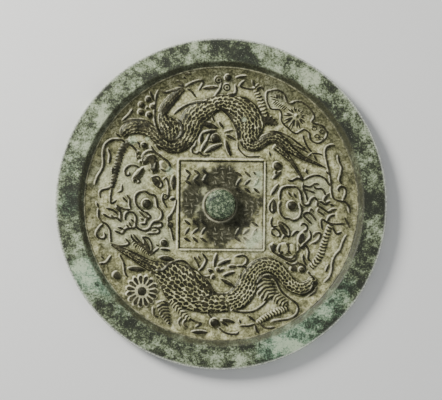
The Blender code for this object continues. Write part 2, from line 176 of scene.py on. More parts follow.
corners = [
    in_frame(across * FRAME_HALF_WIDTH, up * FRAME_HALF_HEIGHT)
    for across, up in ((-1, -1), (1, -1), (1, 1), (-1, 1))
]
for start, end in zip(corners, corners[1:] + corners[:1]):
    raise_line([start, end], half_width=FRAME_LINE_HALF, height=1.0, dark=0.15)
frame_x = (map_x - FRAME_CENTRE[0]) * cos(FRAME_TURN) + (map_y - FRAME_CENTRE[1]) * sin(FRAME_TURN)
frame_y = (map_y - FRAME_CENTRE[1]) * cos(FRAME_TURN) - (map_x - FRAME_CENTRE[0]) * sin(FRAME_TURN)
inside_frame = np.minimum(FRAME_HALF_WIDTH - np.abs(frame_x), FRAME_HALF_HEIGHT - np.abs(frame_y))
frame_groove = np.exp(-(((inside_frame - FRAME_GROOVE_INSET) / FRAME_GROOVE_HALF) ** 2))


def stroke_rows(left, top, right, bottom, rows, in_row, reach, half_width, height, dark, silt=0.0, stray=9):
    """Rows of slanted strokes filling a block. They stand for an inscription and aren't letters."""
    for row in range(rows):
        y = top + (bottom - top) * (row + 0.5) / rows
        for number in range(in_row):
            x = left + (right - left) * (number + 0.5) / in_row
            turn = radians((52 if row % 2 else -38) + stray * sin(5 * row + 3 * number + left))
            dx, dy = reach * cos(turn), reach * sin(turn)
            stroke = [in_frame(x - dx, y - dy), in_frame(x + dx, y + dy)]
            raise_line(stroke, half_width, height, dark=dark, silt=silt)


for block in ((-28, 26, -9, 14.5), (9, 26, 29, 8), (-28, -10, -10, -29), (9, -11, 28, -28)):
    stroke_rows(*block, 3, 3, reach=3.1, half_width=0.8, height=0.5, dark=1)
for block in ((-7, 29, 8, 15), (-28, 10, -16, -7), (16, 4, 29, -8), (-7, -16, 8, -30)):
    stroke_rows(*block, 4, 3, reach=1.7, half_width=0.24, height=0.25, dark=0, silt=0.34, stray=55)


# A low collar lies round the knob's foot, where its core was seated in the mould. Earth has
# caught on it, most of all at the lower left.
COLLAR_PLACE = (-0.9, -1.1)
COLLAR_RADIUS = 12.2
COLLAR_HALF_WIDTH = 0.6
COLLAR_HEIGHT_MM = 0.4
COLLAR_DIRT_SIDE = radians(205)


def cloud_map(size_mm, seed, shape=height_map.shape):
    """Soft random patches about size_mm across, between 0 and 1, the same at every run."""
    random = np.random.default_rng(seed)
    cells = [int(count * CELL / (size_mm * MM)) + 3 for count in shape]
    coarse = random.random(cells)
    rows = np.linspace(0, cells[0] - 2.001, shape[0])
    columns = np.linspace(0, cells[1] - 2.001, shape[1])
    row, column = rows.astype(int)[:, None], columns.astype(int)[None, :]
    down = smoothstep(0, 1, rows[:, None] - row)
    right = smoothstep(0, 1, columns[None, :] - column)
    top = coarse[row, column] * (1 - right) + coarse[row, column + 1] * right
    bottom = coarse[row + 1, column] * (1 - right) + coarse[row + 1, column + 1] * right
    return top * (1 - down) + bottom * down


wander_map = cloud_map(3.2, 31)
collar_x, collar_y = map_x - COLLAR_PLACE[0], map_y - COLLAR_PLACE[1]
collar = np.exp(-(((np.hypot(collar_x, collar_y) - COLLAR_RADIUS) / COLLAR_HALF_WIDTH) ** 2))
collar_side = 0.5 + 0.5 * np.cos(np.arctan2(collar_y, collar_x) - COLLAR_DIRT_SIDE)
height_map += COLLAR_HEIGHT_MM * collar * (0.4 + 0.6 * collar_side)
silt_map = np.maximum(silt_map, collar * (0.25 + 0.75 * collar_side) * np.clip(0.35 + wander_map, 0, 1))


# The two dragons, one after the other round the field. Each was a separate stamp with its scales cut one by
# one. The net between the scales stands proud and takes the earth as far as each body's worn tone allows; the
# sunk scale faces, and a band along each body's outline, are painted dark as shade.
SCALE_PITCH = 3.1
SCALE_DEPTH = 0.16
drag_map = cloud_map(1.5, 32)


def raise_body(route, dome, tone, scale_pitch=SCALE_PITCH, lane_share=0.76, lean=0.5):
    """A long rounded body along (x, y, half-width) points, with staggered scales that lean forwards."""
    curve = curve_through(route, steps=8)
    widest = curve[:, 2].max()
    window = map_window(curve[:, :2], widest + 1)
    distance, along, side, width, length = near_curve(curve, window)
    across = side / np.maximum(width, 0.05)
    inside = (distance < width) & (along > 0) & (along < length)
    crown = np.clip(1 - across**2, 0, 1) ** 0.5 * np.minimum(width / (0.55 * widest), 1) ** 0.7
    row = (along - lean * np.abs(side)) / scale_pitch + 0.45 * (wander_map[window] - 0.5)
    lane = side / (scale_pitch * lane_share) + 0.5 * (drag_map[window] - 0.5)
    shifted = row + 0.5 * (np.round(lane) % 2)
    u = shifted - np.round(shifted)
    v = lane - np.round(lane)
    inset = width - distance
    scale = np.clip(1 - ((u + 0.45 * v * v) / 0.50) ** 2 - (v / 0.46) ** 2, 0, 1)
    scale *= smoothstep(0.2, 0.8, inset)
    face = np.clip(smoothstep(0.05, 0.32, scale) * (0.70 + 0.6 * drag_map[window]), 0, 1)
    edge = smoothstep(1.3, 0.4, inset)
    height = inside * (dome * crown + SCALE_DEPTH * (1 - face) * crown**0.5)
    net_tone = tone + 0.30 * (wander_map[window] - 0.5)
    # Painted shade: the sunk scale faces and a band along the body's outline are painted dark; the rest keeps
    # the body's worn tone.
    raise_to(window, height, inside * np.clip(net_tone + (1 - net_tone) * np.maximum(face, 0.7 * edge), 0, 1))


def raise_limb(route, dome=1.1, rung_pitch=2.5, tone=0.24):
    """A leg along (x, y, half-width) points, ribbed across like the fringe of its hair."""
    curve = curve_through(route, steps=6)
    widest = curve[:, 2].max()
    window = map_window(curve[:, :2], widest + 1)
    distance, along, side, width, length = near_curve(curve, window)
    strayed = along - 0.35 * np.abs(side) + 1.1 * (wander_map[window] - 0.5)
    rung = 0.5 + 0.5 * np.cos(2 * pi * strayed / rung_pitch)
    across = distance / (np.maximum(width, 0.05) * (0.78 + 0.34 * rung))
    crown = np.clip(1 - across**2, 0, 1)
    inside = (crown > 0) & (along > 0) & (along < length)
    ridged = smoothstep(0.35, 0.75, rung) * smoothstep(0.05, 0.3, crown)
    raise_to(
        window, inside * (dome * crown**0.5 + 0.15 * rung * smoothstep(0.0, 0.35, crown)),
        inside * (tone + (1 - tone) * ridged),
    )


raise_body([
    (-73, 50, 2), (-70, 54, 4.5), (-64, 56.5, 5.3), (-57, 56, 5.6), (-50, 52.5, 5.2), (-44, 46.5, 5),
    (-36, 42.5, 5.6), (-28.5, 45.5, 6.6), (-25, 51, 7.4),
], dome=1.8, scale_pitch=3.1, tone=0.43)
raise_body([
    (-27, 47, 6.6), (-24, 54, 8.4), (-20.5, 62.5, 9), (-12.5, 69.5, 7.6), (-3, 74, 6), (6, 74, 6.6),
    (14.5, 69.5, 9.8), (20.5, 61, 11.2), (21, 52, 9), (22.5, 46, 5.2),
], dome=1.9, scale_pitch=3.4, tone=0.30)
raise_body([
    (16, 48, 3.2), (18.5, 44.5, 3.8), (23, 42.4, 4), (28.5, 44, 4), (34, 47.8, 4), (40, 48.6, 4.2),
    (46, 45.2, 4), (52, 39.6, 3), (60, 34.2, 2), (68, 30.6, 1.4), (77, 26.6, 0.7),
], dome=1.5, scale_pitch=2.7, lane_share=0.8, tone=0.36)
raise_body([
    (-43.5, 67, 2.4), (-42.3, 63, 4.2), (-40, 59.5, 6.2), (-38, 56, 7.8), (-37.3, 52.5, 7.8), (-37, 49, 5),
    (-37, 47, 2),
], dome=2.3, scale_pitch=2.6, lane_share=1.0, lean=0.2, tone=0.38)
raise_body([
    (-44, 66, 3), (-40.5, 72, 3.9), (-35, 78.5, 3.5), (-28, 85, 1.9),
], dome=1.2, scale_pitch=2.4, tone=0.5)
raise_limb([
    (-66, 47, 2.2), (-71, 43, 2.8), (-74, 37, 2.8), (-76.5, 28, 2.6), (-79, 18, 2.3), (-80.5, 12, 1.6),
], dome=0.7, tone=0.58)
raise_limb([(32.5, 64, 3), (31, 70, 2.7), (29, 76.5, 2.4), (26.5, 82, 2), (24.5, 86, 1.6)])
raise_limb([(25, 61, 2.6), (30, 62.3, 4.4), (34.5, 61.6, 4), (38.5, 60, 2.8), (41.3, 58.6, 1.2)], tone=0.62)
raise_body([
    (39, 42.5, 2.2), (44.5, 38.8, 2.6), (50, 33.5, 1.9), (54, 28, 1.4), (57.5, 22.3, 1.2),
    (60.5, 17.5, 0.9),
], dome=1.1, scale_pitch=2.6, tone=0.36)

raise_body([
    (68, -55, 3), (65.5, -60, 4.4), (59, -62.5, 4.8), (52, -60, 5), (46.5, -54, 5.2), (41, -48, 5.6),
    (34, -45, 6), (27, -47.5, 6.3), (22, -54, 7), (18.5, -62, 8.2), (13, -69, 8.4), (5, -73, 6.8),
], dome=1.9, tone=0.14)
raise_body([
    (5, -73, 6.8), (-3, -73, 7.6), (-10, -71.5, 9.6), (-17, -68, 12.5), (-25, -62.5, 15.2),
    (-32, -57.5, 14.6), (-38.5, -52.5, 10.6), (-45, -48.5, 6.4), (-51, -46.5, 4.8),
], dome=2.2, scale_pitch=4.1, tone=0.26)
raise_body([
    (-46, -47.5, 4.6), (-53, -45, 4.2), (-60, -41.2, 3.6), (-67, -37.2, 2.9), (-74, -33.6, 2.1),
    (-81, -30, 0.9),
], dome=1.4, scale_pitch=2.6, tone=0.40)
raise_limb([
    (31.8, -53, 3), (31.6, -56.5, 6.2), (32.6, -61, 7.2), (34.4, -65.5, 6.8), (36.6, -69, 5),
], dome=2.0, rung_pitch=2.8, tone=0.36)
raise_limb([(38.5, -67, 3.4), (43, -71, 3.6), (48, -75, 3)], tone=0.3)
raise_limb([(49, -76, 3), (44, -78.5, 2.8), (37, -81.5, 2.6), (31, -85, 2.2), (26, -88, 1.5)], rung_pitch=2.2)
raise_limb([
    (66, -47, 2.4), (69.8, -43, 2.8), (73.5, -37, 2.8), (76, -29, 2.6), (78.6, -21, 2.4), (80.5, -15, 1.8),
], dome=0.8, tone=0.3)
raise_limb([(-36, -70, 3.6), (-32, -76, 3.2), (-27, -82, 2.6), (-23, -85.5, 1.6)])
raise_limb([
    (-66, -26.5, 0.7), (-63.2, -30.2, 1.7), (-59, -33, 1.9), (-55, -36.6, 1.1),
], dome=0.45, rung_pitch=1.7, tone=0.2)


# The contours that part the dragons' bellies, necks and manes from their scales, and the claws.
# They are fine ridges raised along scored lines, worn almost black where the hand has rubbed.
SCORE_BLUR_MM = 0.7


def blurred(values, radius_mm, passes=3):
    """A map softened by running means, near enough to a bell curve after three passes."""
    cells = max(int(round(radius_mm * MM / CELL)), 1)
    for _ in range(passes):
        for axis in (0, 1):
            padding = [(cells + 1, cells) if number == axis else (0, 0) for number in (0, 1)]
            total = np.cumsum(np.pad(values, padding, mode="edge"), axis=axis)
            upper = np.take(total, range(2 * cells + 1, total.shape[axis]), axis=axis)
            lower = np.take(total, range(0, total.shape[axis] - 2 * cells - 1), axis=axis)
            values = (upper - lower) / (2 * cells + 1)
    return values


def raise_lines(lines, **form):
    """Several ridges of the same form."""
    for points in lines:
        raise_line(points, **form)


body_map = blurred(height_map, SCORE_BLUR_MM)
raise_lines([
    [(-35, 66), (-31, 69.5), (-26, 72.5), (-19, 74.8), (-12, 75.2), (-8, 74.5)],
    [(-5, 73), (0, 70), (5, 65.5), (9, 60), (11.8, 53), (12.5, 47)],
    [(-72, 60), (-67, 61.8), (-61, 62), (-55, 61), (-50, 58)],
    [(-46, 84), (-48, 78), (-48.8, 70), (-48.8, 62), (-46.8, 54.5), (-43, 49), (-37.5, 46.3), (-32, 48.3),
     (-28.8, 52.5), (-29.3, 58), (-32.5, 63)],
    [(-45, 83.5), (-41, 82), (-36, 83.5), (-30, 85.5)],
    [(-48, -49), (-43, -49), (-38, -44.5), (-32, -42), (-27, -42.5), (-22.5, -47), (-19, -54), (-14, -60),
     (-5, -65)],
    [(68, -57), (67, -62), (63, -66), (57, -67)], [(71, -61), (69, -65), (64, -68.5)],
    [(27, -59), (28.5, -55.5), (33, -53), (38, -54), (41, -57.5), (43, -62), (46, -66), (51, -70),
     (55.5, -73.5), (57, -77.5), (55, -82), (50, -84.8), (43, -86), (37, -87)],
    [(8, -78.5), (16, -80), (24, -79), (31, -74.5), (34, -71)],
], half_width=0.66, height=0.7, ground=body_map)
raise_lines([
    [(-1.5, 72.2), (3, 68), (6.5, 64), (10, 58), (11.5, 52)],
    [(12.3, 46), (12.8, 41), (16, 37), (19, 35), (25, 34.7), (29, 35)], [(-6, -66), (1, -66.5), (6, -66)],
    [(-13, -68.8), (-6, -67)], [(-21, -72.2), (-10, -73)],
], half_width=0.5, height=0.4, ground=body_map)
raise_lines([
    [(-27, 86), (-21, 89.3), (-14.5, 91), (-13.5, 88.5), (-16.5, 83.5)],
    [(-25.5, 85), (-22, 83), (-18.5, 78.5)], [(-28, 86), (-29, 89), (-33, 90.5)], [(24.5, 86), (23, 91.5)],
    [(24.5, 85), (19.5, 84.8), (14, 87), (17.3, 90.8)], [(25.5, 86.5), (28, 88.5)],
    [(26, 84.5), (29.5, 86), (31.5, 83.5)], [(-32, 87.5), (-27, 86.3)],
    [(-89.3, 4.5), (-89, 9.5), (-84, 11.3), (-79, 13.5)], [(-80.5, 12), (-81.5, 5), (-81, 0.5), (-77, 3)],
    [(-73, 14.5), (-73.2, 10), (-76.5, 8.5)], [(60.5, 17.5), (56, 19), (52, 17), (48.5, 18)],
    [(60.5, 15.5), (60.7, 11), (62.7, 6.5), (63.5, 2)],
    [(60.5, 13.8), (65, 12.6), (69, 14.8), (72.5, 14.5)],
    [(68, 13.2), (70, 11.3), (74.5, 10.8), (77.5, 5.5)],
    [(61, 17.5), (66, 20.2), (71, 21), (76.5, 18.5), (80.3, 13)], [(61, 11), (65.5, 9.4), (69.5, 7.8)],
    [(25.5, -86.8), (19, -82)], [(25, -88.3), (20, -90), (13.5, -90)],
    [(25, -88.5), (26, -93), (28, -95.5)], [(28, -87.5), (33, -91.5), (40, -91)],
    [(74.5, -19), (74, -11.5), (79, -14), (84.5, -15), (91.5, -14.5)], [(82, -17), (85, -22), (89, -20.5)],
    [(91, -10), (93.5, -15), (95, -18)], [(-23, -85), (-18.5, -87), (-15, -88.3), (-19, -91)],
    [(-26, -85), (-27.5, -88.5), (-24.5, -91)], [(-29, -83.5), (-31, -87), (-30, -90.5)],
], half_width=0.65, height=0.7, ground=body_map)


# The dragons' heads, each open-mouthed with a curled snout, a round eye and a combed mane.
# They were modelled freely in the clay, so they are soft lumps between crisp raised lines.
def raise_lump(x, y, long_half, wide_half, turn, height, dark):
    """A soft oval swelling, turned and worn as given."""
    window = map_window([(x, y)], max(long_half, wide_half) + 1)
    across_x, across_y = map_x[window] - x, map_y[window] - y
    u = (across_x * cos(turn) + across_y * sin(turn)) / long_half
    v = (-across_x * sin(turn) + across_y * cos(turn)) / wide_half
    crown = np.sqrt(np.clip(1 - u * u - v * v, 0, 1))
    raise_to(window, height * crown, dark * smoothstep(0.35, 0.8, crown))


def raise_boss(x, y, radius, height, dark=1.0):
    """A round boss, such as a pearl, a berry or the petal of a small blossom."""
    window = map_window([(x, y)], radius * 1.4)
    crown = np.clip(1 - ((map_x[window] - x) ** 2 + (map_y[window] - y) ** 2) / radius**2, 0, 1)
    raise_to(window, height * np.sqrt(crown), dark * smoothstep(0.05, 0.4, crown))


for lump in (
    (-61, 22, 6, 2.6, 0.9, 1.7, 0.6), (-42.3, 28.6, 3.8, 2.7, -0.7, 1.5, 0.5),
    (-48, 16.3, 5, 2.9, -0.75, 0.7, 0.75), (-54, 27, 3.2, 2.2, 0.5, 0.8, 0.4),
    (46.6, -33, 4.2, 4.6, 0.2, 1.7, 0.35), (52.3, -34.3, 3.3, 4.6, 0.1, 1.8, 0.2),
    (59, -25.5, 5.5, 3, 1.3, 1.3, 0.66), (38.2, -31.8, 3.6, 2, 1.5, 1.3, 0.7),
    (53.4, -47.7, 3.4, 2.7, 0.4, 1.1, 0.7), (60.5, -31.5, 3.6, 1.9, 0.5, 1, 0.7),
    (88.6, -8.4, 6.2, 4.4, 1.7, 0.8, 0.4),
):
    raise_lump(*lump)
raise_line([(-57.4, 29.6), (-55, 32.7), (-51.4, 32.4), (-49.4, 28.8), (-50.2, 23.6)], 2.2, 1.9, dark=0.66)
body_map = blurred(height_map, SCORE_BLUR_MM)
for eye in ((-56.8, 43.2, 2.5), (59, -48.5, 2.2), (-61, 38, 1.1), (-60.7, 34.4, 1.1), (-59.6, 31, 1.1),
            (-64, 17.3, 1.3), (44.5, -35.5, 1.2)):
    raise_boss(*eye, height=2.2)
raise_lines([
    [(-58, 32), (-57.3, 36), (-53, 38.8), (-47, 37), (-42.5, 33.5)],
    [(-57, 30), (-54.5, 34), (-50, 35.5), (-47, 32)],
    [(-52, 43), (-49, 38.5), (-44, 34.5), (-39, 31), (-37, 26)], [(-47, 31.5), (-48.5, 27), (-46.5, 23.5)],
    [(-39, 31.5), (-38, 27), (-41, 24.3), (-45, 26)],
    [(-60, 26.5), (-64, 28.3), (-68, 28), (-70.8, 25), (-70, 21.3), (-67.7, 21.6), (-68, 23.8)],
    [(-57, 27), (-61.5, 22), (-65.5, 18.2)], [(-62, 19.5), (-60, 16.5), (-63, 15)],
    [(-48.5, 44), (-45, 39.5)], [(-70, 45.5), (-66, 43), (-62.5, 39), (-62, 33)],
    [(-67, 46.5), (-61, 45), (-60, 41)],
    [(36, -30), (38, -34.7), (43, -38.3), (50, -42), (54.5, -41), (56, -36.5)],
    [(43.8, -29.6), (42.5, -33.5), (43.8, -36.6)],
    [(47.6, -28.8), (49.6, -31), (49.6, -34.6), (51.6, -37.2)],
    [(42.8, -36.8), (47, -39.7), (52, -40.2), (54.6, -37)], [(56.6, -29.5), (57.4, -33), (55.8, -36)],
    [(47, -42.6), (51, -44.9), (54.5, -44.6), (56.3, -43), (57.8, -45.3)],
    [(60.5, -37), (60.8, -41.5), (63, -45.5)],
    [(58.3, -16.3), (60.2, -14.5), (63, -16), (63.2, -19), (60, -20.7)],
    [(66, -29.5), (69.5, -28.5), (72.6, -25.3), (73.2, -21.8), (69.5, -21.8), (67.8, -25)],
    [(65, -19), (66.2, -24), (63, -28), (59, -31.5)], [(56, -43.5), (59, -44.5), (62, -47), (61, -51)],
    [(62.5, -30), (64.5, -35), (64, -40), (66.5, -43)], [(52, -24), (54.5, -21), (57.5, -20)],
    [(45, -26), (47, -23.5), (50.5, -24)],
], half_width=0.66, height=0.8, ground=body_map)


# The flaming pearls that the dragons chase, each in a curling outline like a lobed cloud, with
# tongues of flame at its side. The pearls stand highest and are rubbed bright on top.
raise_boss(-55, 0.2, 3.8, height=2.9)
raise_boss(52, -1.2, 3.8, height=2.9)
raise_lines([
    [(-57, -6), (-59.3, -3.8), (-62, -1), (-63.3, 3), (-62.5, 7), (-60, 8.7), (-56, 9.2), (-53, 7.3),
     (-49, 6.2), (-47.5, 2), (-46.8, -2), (-44, -5), (-43.5, -9), (-46, -12.2), (-50, -13.5), (-53, -18),
     (-57, -19.6), (-61, -18.2), (-63, -15.5), (-62.6, -10), (-65, -6.3), (-68.8, -6), (-70.5, -8),
     (-71, -12)],
    [(43.4, 2.5), (43.5, 8), (45.3, 11.6), (50, 12.7), (56, 12), (58.6, 8), (59.4, 3), (60.6, -0.2),
     (63, -1), (65, 0.2), (66, 3), (68.5, 4.6), (70.5, 3), (71.6, 1.8)],
    [(57.5, 0.5), (59.2, -3), (59, -7), (57, -10.7), (53, -12.2), (49.8, -11), (46, -10), (43.5, -6),
     (43, -1), (44.2, 2.3)],
], half_width=0.66, height=1.0)
raise_lines([
    [(-70, 7), (-67.4, 3.5), (-67.4, 0), (-66.5, -4)], [(-73, 5.3), (-69, 1)],
    [(-75, -2), (-71, -4), (-66.5, -4)], [(-78, -2), (-74.3, -5.8), (-74, -10), (-74, -13.3)],
    [(-85, -3), (-79.5, -4.8), (-76, -8)], [(-87.5, -7), (-83, -9.8), (-77, -10.3), (-74, -13.3)],
    [(-67, -11), (-64, -13.5)], [(-68.5, -13), (-66, -17)], [(-70.3, -15), (-68, -17.7)],
    [(-62.5, -15.5), (-64.5, -17.6), (-69, -18), (-71.3, -19.3), (-73, -21.8), (-76, -21), (-79, -19.5)],
    [(-76.5, -17), (-71.5, -18.8)],
    [(-50.5, -13.8), (-46.5, -13.5), (-43.9, -14.2), (-44.2, -16.7), (-47.6, -17.4)],
    [(-51.6, -17.7), (-47.8, -17.4), (-45.6, -19.3), (-46.6, -21.4), (-50.5, -22), (-55, -22)],
    [(-51, -19.8), (-48, -19.4)], [(-81.8, -8), (-79.4, -9.6)], [(-77.6, -0.3), (-74, -4)],
    [(-61, -5), (-56, -9.6), (-52.8, -10)], [(-60, -10.5), (-56.8, -12)],
    [(-60, -14.5), (-56, -14.6), (-55, -11.5), (-52.3, -9.6), (-54, -7.3), (-57, -5.2)],
    [(49, 9), (52, 5.3)], [(53, 8.3), (55.3, 4.5)],
    [(71.5, 1.8), (74, 1.3), (76, -0.1), (78, 0.6), (80.3, 2.2)],
    [(71, 2.5), (71, -1), (73, -2.3), (77, -5), (79, -6), (82, -4.4), (85.5, -4)],
    [(72, -3), (71.3, -5.2), (74, -7), (76.5, -9.3)], [(65, -6), (66.2, -4), (68.3, -6)],
    [(67, -15), (64, -12), (61, -9), (61.2, -7), (64, -6.4), (67, -8.2), (70, -12.5)],
    [(79.5, 0), (83, -1.5)], [(80, 8), (76, 4), (77, 1)], [(84, -8), (80, -9.5), (78, -13)],
], half_width=0.66, height=0.95)


# Ribbons and cloud scrolls down both sides. They are long threads of bronze, thin enough for the mould's clay
# to show its drag. The pale beside them is painted highlight on their flanks turned to the lamp, and the dark
# beside them is painted shade.
raise_lines([
    [(-71, 45), (-73, 47), (-77, 47.5), (-81, 47), (-85, 44), (-86.8, 38), (-86.5, 30), (-88, 25),
     (-91, 20), (-93, 14)],
    [(-83.5, 41), (-81.8, 36), (-82.7, 30)], [(-80, 27.5), (-80.3, 22)], [(-78, 52.3), (-74, 49)],
    [(-65, 70), (-68, 65.5), (-73, 61)], [(-52.5, 83), (-49.5, 76)], [(-92, 1.5), (-90.3, -3)],
    [(-90.3, -3), (-90.3, -9), (-88, -13), (-85.5, -14.3), (-83, -17), (-81.7, -21), (-81.3, -29)],
    [(-87.5, -15), (-90.5, -18.5), (-92, -22), (-90.3, -25), (-87, -25.5), (-85.3, -23.5), (-86.5, -21)],
    [(84, 43.3), (80.3, 43), (77.3, 41), (77, 36), (78.2, 30), (80, 22), (81, 15), (81.5, 8), (83, 4),
     (87, 2.2), (91, 1.5), (94, -2), (95, -7)],
    [(90, 3), (92, 8), (91, 12), (88, 12.8), (86.3, 11), (87, 8.8)], [(77, 24.3), (80, 21.3)],
    [(86, 36), (87.2, 31), (89, 27), (88.2, 22), (87.2, 18), (89, 14.5)], [(63, 26), (62.7, 24), (64, 22)],
    [(92.5, -23), (90, -28), (88, -33.5), (84.3, -38), (82.3, -43), (82, -48), (80, -54), (76, -58)],
    [(79.3, -44.5), (77, -50)], [(71.5, -59), (67.7, -54.5), (64.3, -50.5), (66, -51.5)],
    [(-81.5, -29.2), (-75, -31), (-68, -29.5), (-70.8, -25.2)], [(-90, -44), (-85, -43.5), (-81, -38)],
    [(-89, -38), (-86.5, -40.5)],
], half_width=0.62, height=0.9)
raise_lines([
    [(-33, 4), (-33.2, 0), (-35, -5), (-37.3, -8.5), (-39, -12), (-37.8, -16), (-36.5, -20.5),
     (-35, -27.5)],
    [(-42.5, 8), (-43.2, 3.5), (-41.5, 0), (-39.7, -3)],
    [(-43, 17.5), (-40.5, 19), (-39, 15), (-38.5, 10), (-39.3, 3.5)],
    [(-52, 19.3), (-47, 20.2), (-45, 18), (-43.3, 14.5), (-45.3, 12), (-50, 15.5)],
    [(-52.4, -38), (-48.5, -34.5), (-45.5, -32.4)], [(42.3, 14.5), (39.3, 10.3), (37, 7.7)],
    [(39, 4), (36.2, 0), (35.8, -4), (38.3, -7.5)], [(39.3, 3), (40, -2), (38.8, -7)],
    [(38, -9.5), (36.7, -13.5), (38, -16.7), (41.3, -16.2)],
    [(37, -18.8), (40.3, -18.3), (43, -21), (43, -23.5), (40.8, -24.2)],
    [(36.8, -19.5), (37.6, -22), (40.5, -24)],
    [(42, -13), (46, -14.5), (50, -18.7), (50.2, -24), (47, -22.5), (44, -18), (42, -13.3)],
    [(43.5, -14.5), (48.8, -22)], [(-67, -22), (-65, -26), (-60, -30), (-55, -34), (-53, -38.5)],
    [(-65, -22), (-61, -27), (-56, -31)], [(-58.5, -24), (-54.5, -30), (-52, -37.5)],
    [(-58.5, -24), (-53.5, -25.5), (-51, -31), (-51.5, -37)], [(-48.5, -29.7), (-45.5, -31.5)],
], half_width=0.60, height=0.85)


# Flowers and leaves between the dragons: a lotus bud above the frame, a blossom below it, a
# plum flower, a daisy, and a lobed leaf with cut veins. Each leaf is a lens with a keel.
LEAF_WEAR = 0.9


def raise_leaf(foot_x, foot_y, tip_x, tip_y, half_width, height=1.25):
    """A pointed leaf or petal with a soft keel, worn dark along its middle."""
    middle = ((foot_x + tip_x) / 2, (foot_y + tip_y) / 2)
    half_length = hypot(tip_x - foot_x, tip_y - foot_y) / 2
    turn = atan2(tip_y - foot_y, tip_x - foot_x)
    window = map_window([middle], half_length * 1.2 + half_width)
    x, y = map_x[window] - middle[0], map_y[window] - middle[1]
    u = (x * cos(turn) + y * sin(turn)) / half_length
    v = (-x * sin(turn) + y * cos(turn)) / half_width
    outline = np.clip(1 - u * u, 0, 1) ** 0.85
    crown = np.clip(1 - (v / np.maximum(outline, 1e-3)) ** 2, 0, 1) * (outline > 0)
    keel = 0.25 * np.exp(-((v / 0.16) ** 2)) * outline
    raise_to(window, height * crown**0.6 * (0.85 + keel), LEAF_WEAR * smoothstep(0.12, 0.55, crown))


for leaf in (
    (-15.3, 59.8, -2.3, 56, 2.7), (-2, 61, 1.8, 55.6, 1.35), (2, 52.8, 9.3, 54.8, 0.8),
    (3.2, 51.2, 11, 47, 1.45), (-14.6, 52, -3, 54.4, 1.4), (-14.2, 52.2, -15.3, 44.6, 1.5),
    (-9.8, 47.5, -15, 38.6, 1.5), (-12.5, 37.6, 0.8, 44.2, 2.3), (-14.5, 85, -1.5, 86.2, 1.7),
    (10.5, 93, 19.3, 94.2, 1.2), (-69.2, -47.6, -56, -48.6, 2.5), (-46.2, -39.6, -34.3, -41, 2.5),
    (-45.5, -33.2, -37.3, -34, 1.2), (-22.5, -94.4, -9.5, -94.6, 1.7), (-44.7, -62, -37.7, -63.3, 1.3),
    (-10.3, -48.5, -5.8, -49.6, 1.4), (-5.5, -46.8, -3, -36, 1.5), (-3, -45.2, 7.3, -41, 1.7),
    (4.8, -46.4, 11.3, -46, 1.5), (0.8, -53.2, 10.3, -50, 1.4), (-1, -55, 10.3, -61.3, 1.8),
    (-7.3, -55.6, -5, -52, 1.4), (0, -85, 10.3, -87.3, 1.7), (-1, -86, 5.3, -90.3, 1.4),
    (-35, 21.5, -35.4, 10.5, 2.3), (-38.2, 3.2, -33.6, 4.4, 1.4), (42.2, 14.4, 36.6, 6.2, 1.5),
    (38.8, 3.6, 38.1, -6.8, 1.2), (-57.4, -25.4, -52.1, -36.2, 1.9), (37.8, 18, 44.3, 24.3, 1.7),
    (-2, -49.8, 2, -48, 1.2),
):
    raise_leaf(*leaf)
raise_leaf(3, 47.6, 6.8, 35, 1.7, height=1.3)
raise_limb([
    (-43.8, -71.5, 2), (-43.2, -74.5, 4.3), (-42, -79, 3.9), (-40.2, -84, 2.6), (-38, -89, 0.6),
], tone=0.45)
raise_lines([
    [(-7.3, 66.5), (-6.2, 63.5), (-4.8, 60.5)],
    [(-18.3, 46.5), (-19, 43), (-21.3, 41), (-21, 38), (-18.3, 37), (-16.2, 38.2), (-13, 35.7), (-8, 36.3)],
    [(-10.5, 46), (-8, 51.5), (-4.5, 53.3)], [(-8, 46.5), (-6.3, 50.5), (-3.5, 52)],
    [(-10, 46), (-5, 45.5), (0, 46.8)], [(0.5, 90), (0, 86.5), (-2, 82.8), (-4, 80), (-7, 74.3)],
    [(10.3, 88), (11.2, 85), (10.2, 81.3), (5, 80.8)], [(-28, 96), (-22, 95.4)], [(-28, 94), (-26, 92)],
    [(9.8, 81), (9.3, 79)], [(10.3, -39), (16, -38), (19, -40), (18.5, -43.8), (16, -45)],
    [(11.3, -46), (17, -46.2), (19, -49), (16.2, -51.2)], [(14.3, -51), (14.3, -56.5), (13, -61)],
    [(-20.3, -38.7), (-18, -42.5), (-16, -47.5)], [(-17.2, -38), (-14.8, -42)],
    [(-14.3, -36), (-11, -41), (-13, -46), (-16.3, -49.3)], [(-17.3, -51), (-12, -54), (-8, -53)],
    [(-11.3, -55), (-8, -60), (-5, -65)], [(-10.3, -80), (-7, -84)], [(13.3, -85), (14.3, -88.3)],
    [(-2.3, -91), (3, -95), (10.5, -96), (13.3, -94)], [(-75, -37), (-72, -43), (-71, -50), (-69, -54)],
    [(-50, -76), (-49.3, -82), (-46, -83.3)], [(-47.5, -73.3), (-43, -72.3), (-38.5, -73.3)],
], half_width=0.62, height=0.9)
for blossom in (
    (-2.5, -48.4, 1.7), (-8.2, -49.2, 1.5), (-6, -54, 1.4), (-4.2, 48.5, 3.6), (5, 93, 2.7),
    (-5, -87.5, 3.6), (-42.2, -28.8, 2.9), (41.2, 28, 3.3), (-53.7, 77, 2.3), (-58.8, 73, 2.4),
    (-59.2, 67.6, 2.4), (-53, 65.6, 2.4), (-50.6, 71.8, 2), (-54.7, 70.6, 1.1), (40.3, 23.2, 1.3),
):
    raise_boss(*blossom, height=1.1 + 0.35 * blossom[2])
raise_boss(-77, -52.5, 3.5, height=1.3, dark=0.55)
for x, y, radius in (
    (-2.2, 91.5, 2.2), (4, 86, 2.2), (-41.4, 5.2, 1.7), (-37.9, -10.3, 1.3), (-37.7, -15.3, 1.6),
):
    around = [(x + radius * cos(turn), y + radius * sin(turn)) for turn in np.linspace(0, 2 * pi, 9)[:-1]]
    raise_line(around, half_width=0.5, height=0.8, closed=True)
    raise_boss(x, y, 0.43 * radius, height=1.5)

